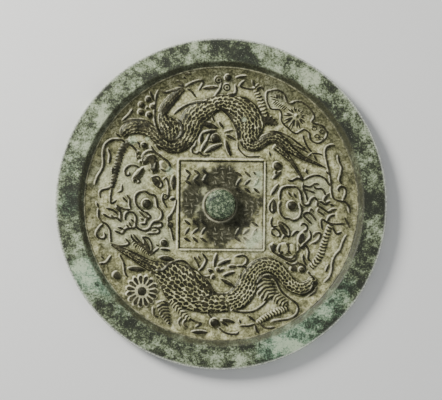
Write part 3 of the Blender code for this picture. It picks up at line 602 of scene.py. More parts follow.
DAISY = (-58.3, -64.3)
DAISY_PETALS = 15
DAISY_REACH = 11.8
DAISY_EYE_RADIUS = 4.4
window = map_window([DAISY], DAISY_REACH + 1)
from_x, from_y = map_x[window] - DAISY[0], map_y[window] - DAISY[1]
reach = np.hypot(from_x, from_y)
petal = np.arctan2(from_y, from_x) / (2 * pi) * DAISY_PETALS
off_middle = np.abs(petal - np.round(petal)) * 2 * pi * reach / DAISY_PETALS
half_petal = np.clip(0.5 * reach * 2 * pi / DAISY_PETALS - 0.42, 0, 2.2)
tip = DAISY_REACH - 0.5 * off_middle**2
in_petal = smoothstep(0.25, -0.25, off_middle - half_petal) * smoothstep(4.9, 5.5, reach)
in_petal *= smoothstep(0.3, -0.5, reach - tip)
wheel = smoothstep(0.9, 0.1, reach - tip)
raise_to(window, wheel * (1.15 - 0.45 * in_petal), 0.85 * in_petal * wheel, 0.35 * (1 - in_petal) * wheel)
raise_boss(*DAISY, DAISY_EYE_RADIUS, height=1.8, dark=0.85)

LOBED_LEAF = [
    (33.6, 79.5), (33.9, 82.3), (36.5, 83.2), (40.4, 84), (43.5, 83.2), (46.6, 80.8), (47.9, 77.4),
    (49.2, 74.4), (51.8, 74.1), (55, 75.4), (59.1, 75.1), (62.8, 72.8), (65.9, 69.6), (68.4, 65.7),
    (68.3, 62.9), (66.9, 61), (68.2, 59.3), (71.3, 58.8), (74.7, 57.4), (76.8, 54.8), (78.2, 52),
    (77.1, 48.6), (74.2, 46), (71, 44.8), (67.4, 46), (65.4, 48.8), (64.9, 52), (63.3, 53.8), (60.7, 54.7),
    (58.1, 53.3), (55.5, 51.9), (52.4, 53.1), (49.2, 56), (46.1, 58.7), (44.2, 62.3), (44.4, 66.3),
    (43, 69.3), (39.9, 69.7), (36.6, 70.2), (35, 72.8), (33.8, 75.9),
]
raise_line(LOBED_LEAF, half_width=0.58, height=0.7, closed=True)
LEAF_EYE = (55.5, 65)
raise_boss(*LEAF_EYE, 1.3, height=1.2, dark=0.4)
for number in range(20):
    turn = 2 * pi * number / 20 + 0.05 * sin(3 * number)
    reach = 8.6 + 2.5 * cos(turn - radians(230)) - 1.1 * (number % 2)
    vein = [(LEAF_EYE[0] + out * cos(turn), LEAF_EYE[1] + out * sin(turn)) for out in (2.9, reach)]
    raise_line(vein, half_width=0.46, height=0.5)
for count, (x, y), (step_x, step_y), (long_x, long_y) in (
    (7, (37.6, 73.6), (1.35, -0.75), (3.2, 2.6)), (4, (40.3, 81.6), (1.3, -0.3), (0.5, -3.4)),
):
    for number in range(count):
        foot = (x + step_x * number, y + step_y * number)
        raise_line([foot, (foot[0] + long_x, foot[1] + long_y)], half_width=0.42, height=0.5)
for x, y in ((68.7, 55.5), (70.5, 50), (74.3, 53.3), (73.6, 48.3)):
    around = [(x + 1.7 * cos(turn), y + 1.2 * sin(turn)) for turn in np.linspace(0, 2 * pi, 7)[:-1]]
    raise_line(around, half_width=0.34, height=0.45, closed=True)
raise_lines([
    [(35.8, 79.5), (41.5, 77.8)], [(36.6, 77.6), (42.4, 75.9)], [(41, 80.2), (41.2, 77.6)],
    [(43, 80.2), (43, 77.3)], [(45, 79.5), (44.8, 76.8)], [(39, 80), (39.2, 78.2)],
    [(66, 57.5), (69.5, 57)], [(72, 57), (74, 56)],
], half_width=0.36, height=0.45)
raise_lines([
    [(60, 51.3), (61.3, 47), (64, 41.5), (67.3, 38)],
    [(35, 53.8), (42, 53), (50, 49.7), (57, 44.5), (63, 40)], [(53, 43.5), (58.5, 41), (64.5, 37.7)],
    [(66.5, 37.3), (71.5, 37), (75, 36)], [(68, 36.3), (71, 31.5)], [(64, 35), (67, 37.3)],
    [(35.3, 39), (36.5, 35)],
], half_width=0.55, height=0.6)


# The cast ground. The clay mould was never quite flat, so the field swells and sinks a little,
# is grainy under the earth, and rises in a hollow curve to the step under the rim.
STEP_LEVEL = 0.0054
COVE_START = 0.912
# The direction away from the upper left lamp, along which the relief's flanks get painted highlight and
# painted shade.
AWAY_FROM_LAMP = (0.78, -0.63)
CORNER_SILT = [(24, -26, 7, 0.5)]


def spots(places, x=map_x, y=map_y):
    """A sum of soft round spots, each given as x, y, radius and its weight where that isn't 1."""
    return sum(
        np.prod(weight) * np.exp(-((x - spot_x) ** 2 + (y - spot_y) ** 2) / radius**2)
        for spot_x, spot_y, radius, *weight in places
    )


reach_map = np.hypot(map_x, map_y) / 100
height_map -= 0.3 * frame_groove
wear_and_shade_map = np.maximum(wear_and_shade_map, 0.9 * frame_groove)
swell = 0.28 * (cloud_map(14, 3) - 0.5) + 0.16 * (cloud_map(5, 4) - 0.5)
grain = 0.09 * (cloud_map(1.1, 5) - 0.5) + 0.06 * (cloud_map(0.55, 6) - 0.5)
soft_height = blurred(height_map, 0.25, passes=2)
sharp_height = blurred(height_map, 0.5, passes=2) - blurred(height_map, 1.6)
# Painted light: flanks of the relief turned to the upper left lamp are painted pale as highlight, and flanks
# turned away from it are painted dark as shade.
slope_y, slope_x = np.gradient(sharp_height, CELL / MM)
lamp_facing = AWAY_FROM_LAMP[0] * slope_x + AWAY_FROM_LAMP[1] * slope_y
free_of_wear_and_shade = 1 - smoothstep(0.3, 0.7, wear_and_shade_map)
# Pale: real silt, the earth near the frame's lower right corner, and painted highlight on the flanks turned
# to the lamp.
silt_and_highlight_map = np.clip(silt_map + spots(CORNER_SILT) + smoothstep(0.10, 0.38, lamp_facing) * free_of_wear_and_shade, 0, 1)
# Painted shade on the flanks turned away from the lamp.
lamp_shade_map = smoothstep(0.12, 0.45, -lamp_facing)
cove = np.clip((reach_map - COVE_START) / (0.997 - COVE_START), 0, 1) ** 1.4
level_map = PLATE_LEVEL + MM * (soft_height * (1 - 0.75 * cove) + swell * (1 - cove) + grain)
level_map += cove * (STEP_LEVEL - PLATE_LEVEL)


# The skin of the field, in four quarters so that no mesh grows too heavy. A square grid is wrapped
# into rings, which keeps its cells nearly equal and its edge a true circle for the rim to meet.
FIELD_RINGS = 262
# Depth in mm below the surroundings at which a hollow is painted fully dark as shade.
HOLLOW_DEPTH_MM = 0.30
# The turns, in degrees, of the sides where the cove under the step is painted most shaded.
SHADED_TURN = 76
SECOND_SHADED_TURN = 200


def wrapped_grid(rings, radius):
    """The places of a square grid bent so that each of its square rings is a circle."""
    line = np.arange(-rings, rings + 1) / rings
    i, j = np.meshgrid(line, line, indexing="ij")
    wide = np.abs(i) >= np.abs(j)
    with np.errstate(divide="ignore", invalid="ignore"):
        turn = np.nan_to_num(np.where(wide, pi / 4 * j / i, pi / 2 - pi / 4 * i / j))
    reach = np.where(wide, i, j) * radius
    return reach * np.cos(turn), reach * np.sin(turn)


def read_map(values, x, y):
    """A map's values at places given in metres, between its cells."""
    column = np.clip(x / CELL + half_cells, 0, values.shape[1] - 1.001)
    row = np.clip(y / CELL + half_cells, 0, values.shape[0] - 1.001)
    c, r = column.astype(int), row.astype(int)
    right, down = column - c, row - r
    near = values[r, c] * (1 - right) + values[r, c + 1] * right
    far = values[r + 1, c] * (1 - right) + values[r + 1, c + 1] * right
    return near * (1 - down) + far * down


def normals_over(places):
    """Unit normals over a grid of places."""
    across = np.cross(np.gradient(places, axis=0), np.gradient(places, axis=1))
    return across / np.maximum(np.linalg.norm(across, axis=-1, keepdims=True), 1e-12)


def in_scene(name, data):
    """An object of that name, linked into the scene."""
    piece = bpy.data.objects.new(name, data)
    bpy.context.scene.collection.objects.link(piece)
    return piece


def quad_mesh(name, places, normals, values, closed=False):
    """A smooth mesh of quads over a grid of places, with named values at its points."""
    rows, columns = places.shape[:2]
    number = np.arange(rows * columns).reshape(rows, columns)
    if closed:
        number = np.hstack([number, number[:, :1]])
    corners = np.stack([number[:-1, :-1], number[1:, :-1], number[1:, 1:], number[:-1, 1:]], axis=-1)
    quads = corners.reshape(-1, 4)
    mesh = bpy.data.meshes.new(name)
    mesh.vertices.add(rows * columns)
    mesh.vertices.foreach_set("co", places.astype(np.float32).ravel())
    mesh.loops.add(quads.size)
    mesh.loops.foreach_set("vertex_index", quads.astype(np.int32).ravel())
    mesh.polygons.add(len(quads))
    mesh.polygons.foreach_set("loop_start", np.arange(0, quads.size, 4, dtype=np.int32))
    mesh.update(calc_edges=True)
    for label, numbers in values.items():
        layer = mesh.attributes.new(label, "FLOAT", "POINT")
        layer.data.foreach_set("value", numbers.astype(np.float32).ravel())
    mesh.shade_smooth()
    mesh.normals_split_custom_set_from_vertices(normals.reshape(-1, 3))
    return in_scene(name, mesh)


field_x, field_y = wrapped_grid(FIELD_RINGS, FIELD_RADIUS)
field_z = read_map(level_map, field_x, field_y)
field_z[np.hypot(field_x, field_y) > FIELD_RADIUS - 1e-6] = STEP_LEVEL
field_places = np.stack([field_x, field_y, field_z], axis=-1)
field_normals = normals_over(field_places)
# Painted shade: hollows in the relief are painted dark, the more so the lower they lie than their
# surroundings.
painted_shade_map = np.clip((blurred(soft_height, 0.9) - soft_height) / HOLLOW_DEPTH_MM, 0, 1)

# Where the ground differs, as x, y and radius: green with copper salts, rubbed bare, or earthed over.
GREEN_SPOTS = [
    (17, 62, 2.4), (-65, 47, 4.2), (-54.5, 48, 2.2), (27, 14, 4), (28, 22, 3.2), (27, -24, 5.5),
    (21, -30, 4), (-38, 24, 4),
]
PALE_GREEN_SPOTS = [
    (-66, 22, 13), (-78, -24, 11), (-60, -10, 16), (-46, -28, 10), (70, 10, 12), (60, -15, 12), (0, 90, 9),
    (40, 80, 10), (-90, 20, 9), (25, -26, 10), (27, 16, 9), (-15, -2, 7), (-12, 9, 5),
]
BARE_SPOTS = [(0, 20, 15), (-20, 0, 13), (21, 0, 13), (0, -21, 15), (0, 0, 17), (-14, 10, 8), (13, -12, 8)]
bare_map = np.clip(spots(BARE_SPOTS), 0, 1.2)
bare_map = bare_map + 0.7 * (cloud_map(5, 8) - 0.5) + 0.4 * (cloud_map(1.6, 9) - 0.5)
EARTHED_SPOTS = [(-15, -3, 6), (-12, 9, 5), (27, -26, 11), (30, 19, 8), (-30, -24, 8)]
bare_map -= 0.8 * spots(EARTHED_SPOTS)
bare_map *= smoothstep(0.2, 1.8, inside_frame)
# Painted shade on the cove under the step, deepest on the sides turned to SHADED_TURN and SECOND_SHADED_TURN,
# and uneven in random patches.
shaded_side, second_shaded_side = [
    0.5 + 0.5 * np.cos(np.arctan2(map_y, map_x) - radians(turn)) for turn in (SHADED_TURN, SECOND_SHADED_TURN)
]
step_shade = 0.05 + 1.4 * shaded_side**3 + 0.28 * second_shaded_side + 0.9 * (cloud_map(4, 11) - 0.4)
step_shade *= smoothstep(0.85, 0.95, reach_map)
# All painted shade together: in hollows, on flanks turned from the lamp, and on the cove under the step.
painted_shade_map = np.clip(np.maximum(painted_shade_map, lamp_shade_map) + 1.1 * step_shade, 0, 1)
finish_maps = {
    "wear_and_shade": wear_and_shade_map, "pale": silt_and_highlight_map, "painted_shade": painted_shade_map,
    "green": spots(GREEN_SPOTS), "sage": spots(PALE_GREEN_SPOTS), "bare": bare_map,
}
field_values = {label: read_map(values, field_x, field_y) for label, values in finish_maps.items()}


def linear_colour(code):
    """An sRGB hex colour as linear red, green, blue and alpha."""
    shares = [int(code[n : n + 2], 16) / 255 for n in (1, 3, 5)]
    return [s / 12.92 if s <= 0.04045 else ((s + 0.055) / 1.055) ** 2.4 for s in shares] + [1.0]


def fill_sockets(tree, node, inputs):
    """Gives a node's inputs their values, or links them to the outputs they come from."""
    for socket, value in inputs.items():
        if isinstance(value, bpy.types.NodeSocket):
            tree.links.new(value, node.inputs[socket])
        else:
            node.inputs[socket].default_value = value


def add_node(tree, kind, inputs=(), out=0, stops=(), **settings):
    """Adds a node with its settings and links. Inputs are a list in the sockets' order, or a dict."""
    node = tree.nodes.new("ShaderNode" + kind)
    for name, value in settings.items():
        setattr(node, name, value)
    for _ in stops[2:]:
        node.color_ramp.elements.new(0.5)
    for number, (place, code) in enumerate(stops):
        node.color_ramp.elements[number].position = place
        node.color_ramp.elements[number].color = linear_colour(code)
    fill_sockets(tree, node, inputs if isinstance(inputs, dict) else dict(enumerate(inputs)))
    return node.outputs[out]


def start_material(name, noises=()):
    """A material, its tree and shader, and its mottling as (size in mm, detail, roughness, offset) noises."""
    material = bpy.data.materials.new(name)
    material.use_nodes = True
    tree = material.node_tree
    mottling = []
    for size_mm, detail, roughness, offset in noises:
        place = add_node(tree, "TexCoord", out="Object")
        place = add_node(tree, "Mapping", {"Vector": place, "Location": (offset, offset / 2, 0)})
        lumps = {"Vector": place, "Scale": 1 / (size_mm * MM), "Detail": detail, "Roughness": roughness}
        mottling.append(add_node(tree, "TexNoise", lumps))
    return material, tree, tree.nodes["Principled BSDF"], mottling


WEIGHTED = {"operation": "MULTIPLY_ADD"}
SOFT = {"interpolation_type": "SMOOTHSTEP"}


def ragged_edge(tree, value, noise, share, starts, ends, least=0.0, most=1.0):
    """How far a coat covers: a value made ragged by a share of noise, between two soft limits."""
    ragged = add_node(tree, "Math", [noise, share, value], **WEIGHTED)
    return add_node(tree, "MapRange", [ragged, starts, ends, least, most], **SOFT)


def thinned(tree, value, noise, starts, ends, least, most):
    """How far a coat covers: a value that noise thins from place to place."""
    share = add_node(tree, "MapRange", [noise, starts, ends, least, most], **SOFT)
    return add_node(tree, "Math", [value, share], operation="MULTIPLY")


def coated(tree, colour, coats):
    """A colour with coats over it, each given as its cover, what shades it, and its (place, colour) stops."""
    for cover, shade, stops in coats:
        coat = add_node(tree, "ValToRGB", [shade], stops=stops)
        colour = add_node(tree, "Mix", {0: cover, 6: colour, 7: coat}, out=2, data_type="RGBA")
    return colour


def earthed_bronze():
    """Tin bronze with burial earth in its hollows: matt tan ground, dark waxy metal where hands wear it, and
    painted shade and painted highlight over the relief.
    """
    # Real grit is a tenth of a millimetre. It is drawn at 1.35 mm, as coarse as it has to be to show.
    material, tree, shader, (broad, mottle, grit) = start_material(
        "earthed_bronze", [(11, 3, 0.6, 0), (3.4, 4, 0.6, 0.3), (1.35, 4, 0.75, 0.7)]
    )
    wear_and_shade, pale, painted_shade, green, sage, bare = [
        add_node(tree, "Attribute", out="Fac", attribute_name=label) for label in field_values
    ]
    tone = add_node(tree, "Math", [grit, 0.75], operation="MULTIPLY")
    tone = add_node(tree, "Math", [mottle, 0.6, tone], **WEIGHTED)
    tone = add_node(tree, "Math", [broad, 0.45, tone], **WEIGHTED)
    waxy_tone = add_node(tree, "Math", [grit, 0.6, mottle], **WEIGHTED)
    bare_tone = add_node(tree, "Math", [mottle, 0.6, grit], **WEIGHTED)
    wear_and_shade_edge = ragged_edge(tree, wear_and_shade, grit, 0.40, 0.50, 0.82)
    bare_edge = ragged_edge(tree, bare, grit, 1.5, 1.02, 1.60, most=0.93)
    earth = add_node(tree, "ValToRGB", [add_node(tree, "MapRange", [tone, 0.52, 1.25], **SOFT)], stops=[
        (0.10, "#43422B"), (0.30, "#737250"), (0.50, "#A09F73"), (0.68, "#C6C596"), (0.92, "#E8E7C5"),
    ])
    sage_edge = ragged_edge(tree, sage, mottle, 0.9, 0.55, 1.15, most=0.6)
    green_edge = ragged_edge(tree, green, grit, 1.3, 1.05, 1.5, most=0.7)
    colour = coated(tree, earth, [
        (sage_edge, grit, [(0.3, "#959D72"), (0.7, "#E4E6C2")]),
        # Painted shade, in dark olive.
        (thinned(tree, painted_shade, grit, 0.35, 0.6, 0.98, 0.72), mottle, [(0.3, "#242518"), (0.7, "#46472F")]),
        # Wear, and painted shade in the sunk scale faces and along the bodies' outlines, as dark waxy metal.
        (wear_and_shade_edge, waxy_tone, [(0.6, "#13120C"), (0.80, "#242219"), (0.98, "#4E4B36")]),
        (bare_edge, bare_tone, [(0.6, "#0B0B09"), (0.82, "#161510"), (0.94, "#272620"), (1.0, "#5F5D4E")]),
        # Real silt, and painted highlight on the flanks turned to the lamp, in pale earth colours.
        (thinned(tree, pale, grit, 0.3, 0.55, 0.55, 0.95), grit, [(0.3, "#B7B48B"), (0.7, "#E9E7CF")]),
        (green_edge, grit, [(0.3, "#8BA07C"), (0.7, "#D3DCB8")]),
    ])
    shine = add_node(tree, "Math", [wear_and_shade_edge, bare_edge], operation="MAXIMUM")
    relief = add_node(tree, "Math", [mottle, 0.5, grit], **WEIGHTED)
    fill_sockets(tree, shader, {
        "Base Color": colour, "Roughness": add_node(tree, "MapRange", [shine, 0, 1, 0.86, 0.44], **SOFT),
        "Specular Tint": linear_colour("#E4E8CC"),
        "Normal": add_node(tree, "Bump", {"Height": relief, "Strength": 0.5, "Distance": 0.00025}),
    })
    return material


back_material = earthed_bronze()
middle = FIELD_RINGS
quarters = {
    "field_upper_left": (slice(0, middle + 1), slice(middle, None)),
    "field_upper_right": (slice(middle, None), slice(middle, None)),
    "field_lower_left": (slice(0, middle + 1), slice(0, middle + 1)),
    "field_lower_right": (slice(middle, None), slice(0, middle + 1)),
}
for name, part in quarters.items():
    quarter_values = {label: numbers[part] for label, numbers in field_values.items()}
    quarter = quad_mesh(name, field_places[part], field_normals[part], quarter_values)
    quarter.data.materials.append(back_material)
    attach(quarter, "root")
    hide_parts("bronze_mirror")


# The rim, broad and flat, with a bright worn arris outside and a steep step inside. It was the
# part that other mirrors rubbed in the grave, so its patina is thick: sage, blue-green and black.
RIM_LEVEL = 0.0090
RIM_WEAR = 0.00009
ARRIS = 0.0008
FOOT_CHAMFER = 0.0006
RIM_TOP_RINGS = 24
STEP_WIDTH = 0.0045
STEP_RISES = [
    (0, 0), (0.00015, 0.0004), (0.00045, 0.0006), (0.0008, 0.0005), (0.0011, 0.0004), (0.0016, 0.0008),
    (0.0024, 0.0017), (0.0032, 0.0027), (0.0039, 0.0034),
]
rim_turns = np.arange(8 * FIELD_RINGS) * pi / (4 * FIELD_RINGS)


def rim_profile():
    """(radius, height) down the rim: bead, step, shoulder, flat top, rounded arris, outer wall, foot."""
    points = [(FIELD_RADIUS + out, STEP_LEVEL + up) for out, up in STEP_RISES]
    inner, outer = FIELD_RADIUS + STEP_WIDTH, MIRROR_RADIUS - ARRIS
    points.append((inner, RIM_LEVEL))
    points += [(inner + (outer - inner) * n / RIM_TOP_RINGS, RIM_LEVEL) for n in range(1, RIM_TOP_RINGS)]
    for turn in np.linspace(pi / 2, 0, 5):
        points.append((outer + ARRIS * cos(turn), RIM_LEVEL - ARRIS * (1 - sin(turn))))
    points += [(MIRROR_RADIUS, RIM_LEVEL * share) for share in (0.7, 0.5, 0.3)]
    points += [(MIRROR_RADIUS, FOOT_CHAMFER), (MIRROR_RADIUS - FOOT_CHAMFER / 3, FOOT_CHAMFER / 3)]
    points += [(MIRROR_RADIUS - FOOT_CHAMFER, 0)]
    return np.array(points)


# Patches of patina, each with its place, its radius, and how light or how green it is.
RIM_PATCHES = [
    (-80, 80, 30, 0.10), (-105, 35, 28, 0.12), (-60, 95, 16, 0.10), (-112, -5, 16, -0.04),
    (-100, 60, 15, 0.06), (5, 108, 20, -0.24), (-30, 103, 9, -0.20), (-18, 112, 6, 0.12), (60, 92, 8, 0.44),
    (54, 99, 9, 0.14), (85, 70, 13, 0.30), (35, 105, 14, 0.12), (55, 86, 7, -0.34), (68, 78, 8, -0.32),
    (76, 67, 7, -0.30), (88, 52, 12, -0.26), (104, 30, 15, -0.18), (103, 6, 12, -0.22), (108, 18, 7, 0.22),
    (111, -12, 10, -0.05), (101, -16, 9, 0), (104, -38, 13, -0.30), (92, -60, 11, -0.16),
    (83, -72, 10, 0.12), (60, -92, 17, 0.22), (40, -104, 13, 0.26), (32, -97, 6, -0.38), (66, -84, 6, -0.2),
    (88, -78, 7, -0.24), (12, -106, 14, -0.02), (-12, -110, 12, 0), (-45, -95, 11, -0.24),
    (-64, -82, 10, -0.18), (-30, -104, 12, -0.08), (-97, -53, 17, 0.44), (-83, -66, 9, 0.12),
    (-104, -35, 13, 0.04), (-108, -18, 9, -0.02), (-90, -78, 9, -0.02), (-88, -52, 6, -0.14),
    (-97, -25, 5, -0.25),
]
GREEN_PATCHES = [
    (55, -95, 22, 0.9), (80, -74, 14, 0.7), (35, -108, 14, 0.6), (-97, -52, 17, 1), (-112, 0, 14, 0.5),
    (-72, -78, 12, 0.4), (92, -60, 9, 0.5), (20, 108, 16, 0.3), (-110, 30, 14, 0.35), (-82, -62, 6, 0.7),
]
profile = rim_profile()
profile_radius, profile_level = profile[:, 0][:, None], profile[:, 1][:, None]
rim_x, rim_y = profile_radius * np.cos(rim_turns), profile_radius * np.sin(rim_turns)
wide_shape = (961, 961)
rim_clouds = 0.6 * cloud_map(7, 21, wide_shape) + 0.4 * cloud_map(1.8, 22, wide_shape)
wide_cell = 2.02 * MIRROR_RADIUS / (wide_shape[0] - 1)
rim_row, rim_column = [
    np.clip(np.round(place / wide_cell + wide_shape[0] / 2).astype(int), 0, wide_shape[0] - 1)
    for place in (rim_y, rim_x)
]
wear = rim_clouds[rim_row, rim_column]
on_top = smoothstep(RIM_LEVEL - 0.0004, RIM_LEVEL, profile_level)
on_top = on_top * (profile_radius < MIRROR_RADIUS - ARRIS * 0.8)
rim_z = profile_level + 0 * rim_x - RIM_WEAR * on_top * wear
rim_places = np.stack([rim_x, rim_y, rim_z], axis=-1)
arris_wear = np.exp(-(((profile_radius - (MIRROR_RADIUS - ARRIS * 0.6)) / 0.0007) ** 2))
arris_wear *= smoothstep(RIM_LEVEL - 0.0013, RIM_LEVEL - 0.0004, profile_level)
inner_dirt = smoothstep(FIELD_RADIUS + 0.0052, FIELD_RADIUS + 0.0034, profile_radius)
bead_wear = smoothstep(FIELD_RADIUS + 0.0011, FIELD_RADIUS + 0.0007, profile_radius)
rim_values = {
    "tone": spots(RIM_PATCHES, rim_x / UNIT, rim_y / UNIT),
    "green": spots(GREEN_PATCHES, rim_x / UNIT, rim_y / UNIT),
    "rubbed": arris_wear + 0 * rim_x, "dirt": inner_dirt + 0 * rim_x, "bead": bead_wear + 0 * rim_x,
}


def thick_patina():
    """Burial patina on bronze: matt copper carbonates in sage and blue-green over black copper oxide."""
    # Its flecks, specks and pits are drawn coarse too, at about 1 mm, so that they show from above.
    material, tree, shader, (broad, blotch, fleck, speck, pit) = start_material("thick_patina", [
        (15, 9, 0.68, 0), (4.2, 5, 0.65, 0.2), (1.1, 4, 0.7, 0.5), (0.9, 2, 0.6, 0.8), (1.5, 2, 0.6, 0.6),
    ])
    patches, green, rubbed, dirt, bead = [
        add_node(tree, "Attribute", out="Fac", attribute_name=label) for label in rim_values
    ]
    tone = add_node(tree, "Math", [patches, 0.30, broad], **WEIGHTED)
    tone = add_node(tree, "Math", [fleck, 0.52, tone], **WEIGHTED)
    tone = ragged_edge(tree, tone, blotch, 0.30, 0.74, 1.14)
    specks = add_node(tree, "MapRange", [speck, 0.64, 0.72, 0, 0.6], **SOFT)
    pits = add_node(tree, "MapRange", [pit, 0.30, 0.37, 0.7, 0], **SOFT)
    sage = add_node(tree, "ValToRGB", [tone], stops=[
        (0.12, "#23271A"), (0.38, "#3E4630"), (0.47, "#66714F"), (0.66, "#828F73"), (0.92, "#B6C0A2"),
    ])
    colour = coated(tree, sage, [
        (ragged_edge(tree, green, blotch, 0.9, 0.6, 1.4, most=0.75), tone,
         [(0.10, "#23301F"), (0.35, "#46604A"), (0.60, "#74957A"), (0.90, "#B2C6A6")]),
        (specks, blotch, [(0.3, "#9CA489"), (0.7, "#CDD2BE")]),
        (pits, blotch, [(0.3, "#23251A"), (0.7, "#33372B")]),
        (thinned(tree, dirt, blotch, 0.3, 0.7, 0.95, 0.6), fleck, [(0.3, "#26281A"), (0.7, "#55563C")]),
        (thinned(tree, bead, blotch, 0.40, 0.6, 0.15, 0.9), fleck, [(0.3, "#6C6A47"), (0.7, "#B6B492")]),
        (thinned(tree, rubbed, fleck, 0.3, 0.6, 0.5, 1.0), fleck, [(0.3, "#A9AEA0"), (0.7, "#E2E4DA")]),
    ])
    relief = add_node(tree, "Math", [fleck, 0.8, blotch], **WEIGHTED)
    fill_sockets(tree, shader, {
        "Base Color": colour, "Roughness": add_node(tree, "MapRange", [tone, 0, 1, 0.5, 0.85], **SOFT),
        "Normal": add_node(tree, "Bump", {"Height": relief, "Strength": 0.45, "Distance": 0.0004}),
    })
    return material


def closed_normals(places):
    """Normals of a grid whose columns run round and meet."""
    around = np.concatenate([places[:, -1:], places, places[:, :1]], axis=1)
    return normals_over(around)[:, 1:-1]


rim = quad_mesh("rim", rim_places, closed_normals(rim_places), rim_values, closed=True)
rim.data.materials.append(thick_patina())
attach(rim, "root")
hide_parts("bronze_mirror")


# The knob, a flat-topped dome left round a clay core that made the cord hole. The hole runs from
# side to side. Its crown is green with corrosion, and cords have rubbed a pale ring at its foot.
KNOB_RADIUS = 0.0102
KNOB_CROWN = high[2]
CROWN_WEAR = 0.00004
KNOB_ROOT = 0.0008
KNOB_PLACE = (-0.0004, -0.0004)
HOLE_HALF_WIDTH = 0.0051
HOLE_TOP = 0.0098
HOLE_ROUND = 0.0028
HOLE_FLOOR = PLATE_LEVEL - 0.002
HOLE_HALF_LENGTH = 0.016
LIP_WEAR = 0.0003
KNOB_TURNS = 160
KNOB_RINGS = 56


def piece_of(name, shape):
    """A finished shape as a piece in the scene."""
    mesh = bpy.data.meshes.new(name)
    shape.to_mesh(mesh)
    shape.free()
    return in_scene(name, mesh)


def knob_level(share):
    """Height of the knob's skin at a share of its radius."""
    shares = [0, 0.3, 0.5, 0.64, 0.76, 0.85, 0.92, 0.97, 1.0]
    rises = [1, 0.993, 0.978, 0.952, 0.91, 0.85, 0.77, 0.65, 0.3]
    return PLATE_LEVEL + (KNOB_CROWN - CROWN_WEAR - PLATE_LEVEL) * np.interp(share, shares, rises)


def ring_of(shape, radius, level):
    """A ring of the knob, which is a little out of round as hand-cut moulds are."""
    ring = []
    for number in range(KNOB_TURNS):
        turn = 2 * pi * number / KNOB_TURNS
        reach = radius * (1 + 0.006 * sin(2 * turn + 0.8) + 0.004 * sin(5 * turn))
        x, y = KNOB_PLACE[0] + reach * cos(turn), KNOB_PLACE[1] + reach * sin(turn)
        ring.append(shape.verts.new((x, y, level)))
    return ring


shape = bmesh.new()
knob_rings = [
    ring_of(shape, KNOB_RADIUS * sin(pi / 2 * ring / KNOB_RINGS), knob_level(sin(pi / 2 * ring / KNOB_RINGS)))
    for ring in range(1, KNOB_RINGS + 1)
]
knob_rings.append(ring_of(shape, KNOB_RADIUS, PLATE_LEVEL - KNOB_ROOT))
top = shape.verts.new((*KNOB_PLACE, knob_level(0)))
for number in range(KNOB_TURNS):
    after = (number + 1) % KNOB_TURNS
    shape.faces.new([top, knob_rings[0][number], knob_rings[0][after]])
    for inner, outer in zip(knob_rings, knob_rings[1:]):
        shape.faces.new([inner[number], outer[number], outer[after], inner[after]])
shape.faces.new(list(reversed(knob_rings[-1])))
knob = piece_of("knob", shape)

hole_outline = [(HOLE_HALF_WIDTH, HOLE_FLOOR)]
for towards, turns in ((1, np.linspace(0, pi / 2, 12)), (-1, np.linspace(pi / 2, 0, 12))):
    for turn in turns:
        across = HOLE_HALF_WIDTH - HOLE_ROUND + HOLE_ROUND * cos(turn)
        hole_outline.append((towards * across, HOLE_TOP - HOLE_ROUND + HOLE_ROUND * sin(turn)))
hole_outline.append((-HOLE_HALF_WIDTH, HOLE_FLOOR))
shape = bmesh.new()
mouth = shape.faces.new([shape.verts.new((-HOLE_HALF_LENGTH, y, z)) for y, z in hole_outline])
grown = bmesh.ops.extrude_face_region(shape, geom=[mouth])["geom"]
far_end = [part for part in grown if isinstance(part, bmesh.types.BMVert)]
bmesh.ops.translate(shape, verts=far_end, vec=(2 * HOLE_HALF_LENGTH, 0, 0))
bmesh.ops.recalc_face_normals(shape, faces=shape.faces)
cord_hole = piece_of("cord_hole", shape)
pierced = knob.modifiers.new("Cord hole", "BOOLEAN")
pierced.operation = "DIFFERENCE"
pierced.object = cord_hole
softened = knob.modifiers.new("Worn lip", "BEVEL")
softened.width = LIP_WEAR
softened.segments = 3
softened.limit_method = "ANGLE"
softened.angle_limit = radians(40)
finished = bpy.data.meshes.new_from_object(knob.evaluated_get(bpy.context.evaluated_depsgraph_get()))
knob.modifiers.clear()
knob.data = finished
bpy.data.objects.remove(cord_hole)
knob.data.shade_smooth()
knob.data.set_sharp_from_angle(angle=radians(50))


def rubbed_crown():
    """The same bronze where cords and fingers held it: green on the crown, pale at the foot."""
    material, tree, shader, (blotch, fleck) = start_material(
        "rubbed_crown", [(2.2, 5, 0.75, 0.4), (0.6, 4, 0.6, 0.1)]
    )
    tone = add_node(tree, "Math", [fleck, 0.7, blotch], **WEIGHTED)
    level = add_node(tree, "SeparateXYZ", [add_node(tree, "TexCoord", out="Object")], out=2)
    foot = ragged_edge(tree, level, fleck, 0.0012, 0.0078, 0.0100, 1.0, 0.0)
    # Darker towards the knob's foot and low in the cord hole.
    low_darkening = ragged_edge(tree, level, fleck, 0.0010, 0.0046, 0.0066, 0.9, 0.0)
    crown = add_node(tree, "ValToRGB", [tone], stops=[
        (0.66, "#10160E"), (0.78, "#2C3A28"), (0.88, "#4F6145"), (1.0, "#9DA988"),
    ])
    colour = coated(tree, crown, [
        (thinned(tree, foot, blotch, 0.35, 0.55, 0.5, 0.95), fleck, [(0.3, "#8E8A70"), (0.7, "#C7C3AB")]),
        (low_darkening, fleck, [(0.3, "#1E1E17"), (0.7, "#45432F")]),
    ])
    fill_sockets(tree, shader, {
        "Base Color": colour, "Roughness": 0.6,
        "Normal": add_node(tree, "Bump", {"Height": tone, "Strength": 0.4, "Distance": 0.0003}),
    })
    return material


knob.data.materials.clear()
knob.data.materials.append(rubbed_crown())
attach(knob, "root")
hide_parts("bronze_mirror")


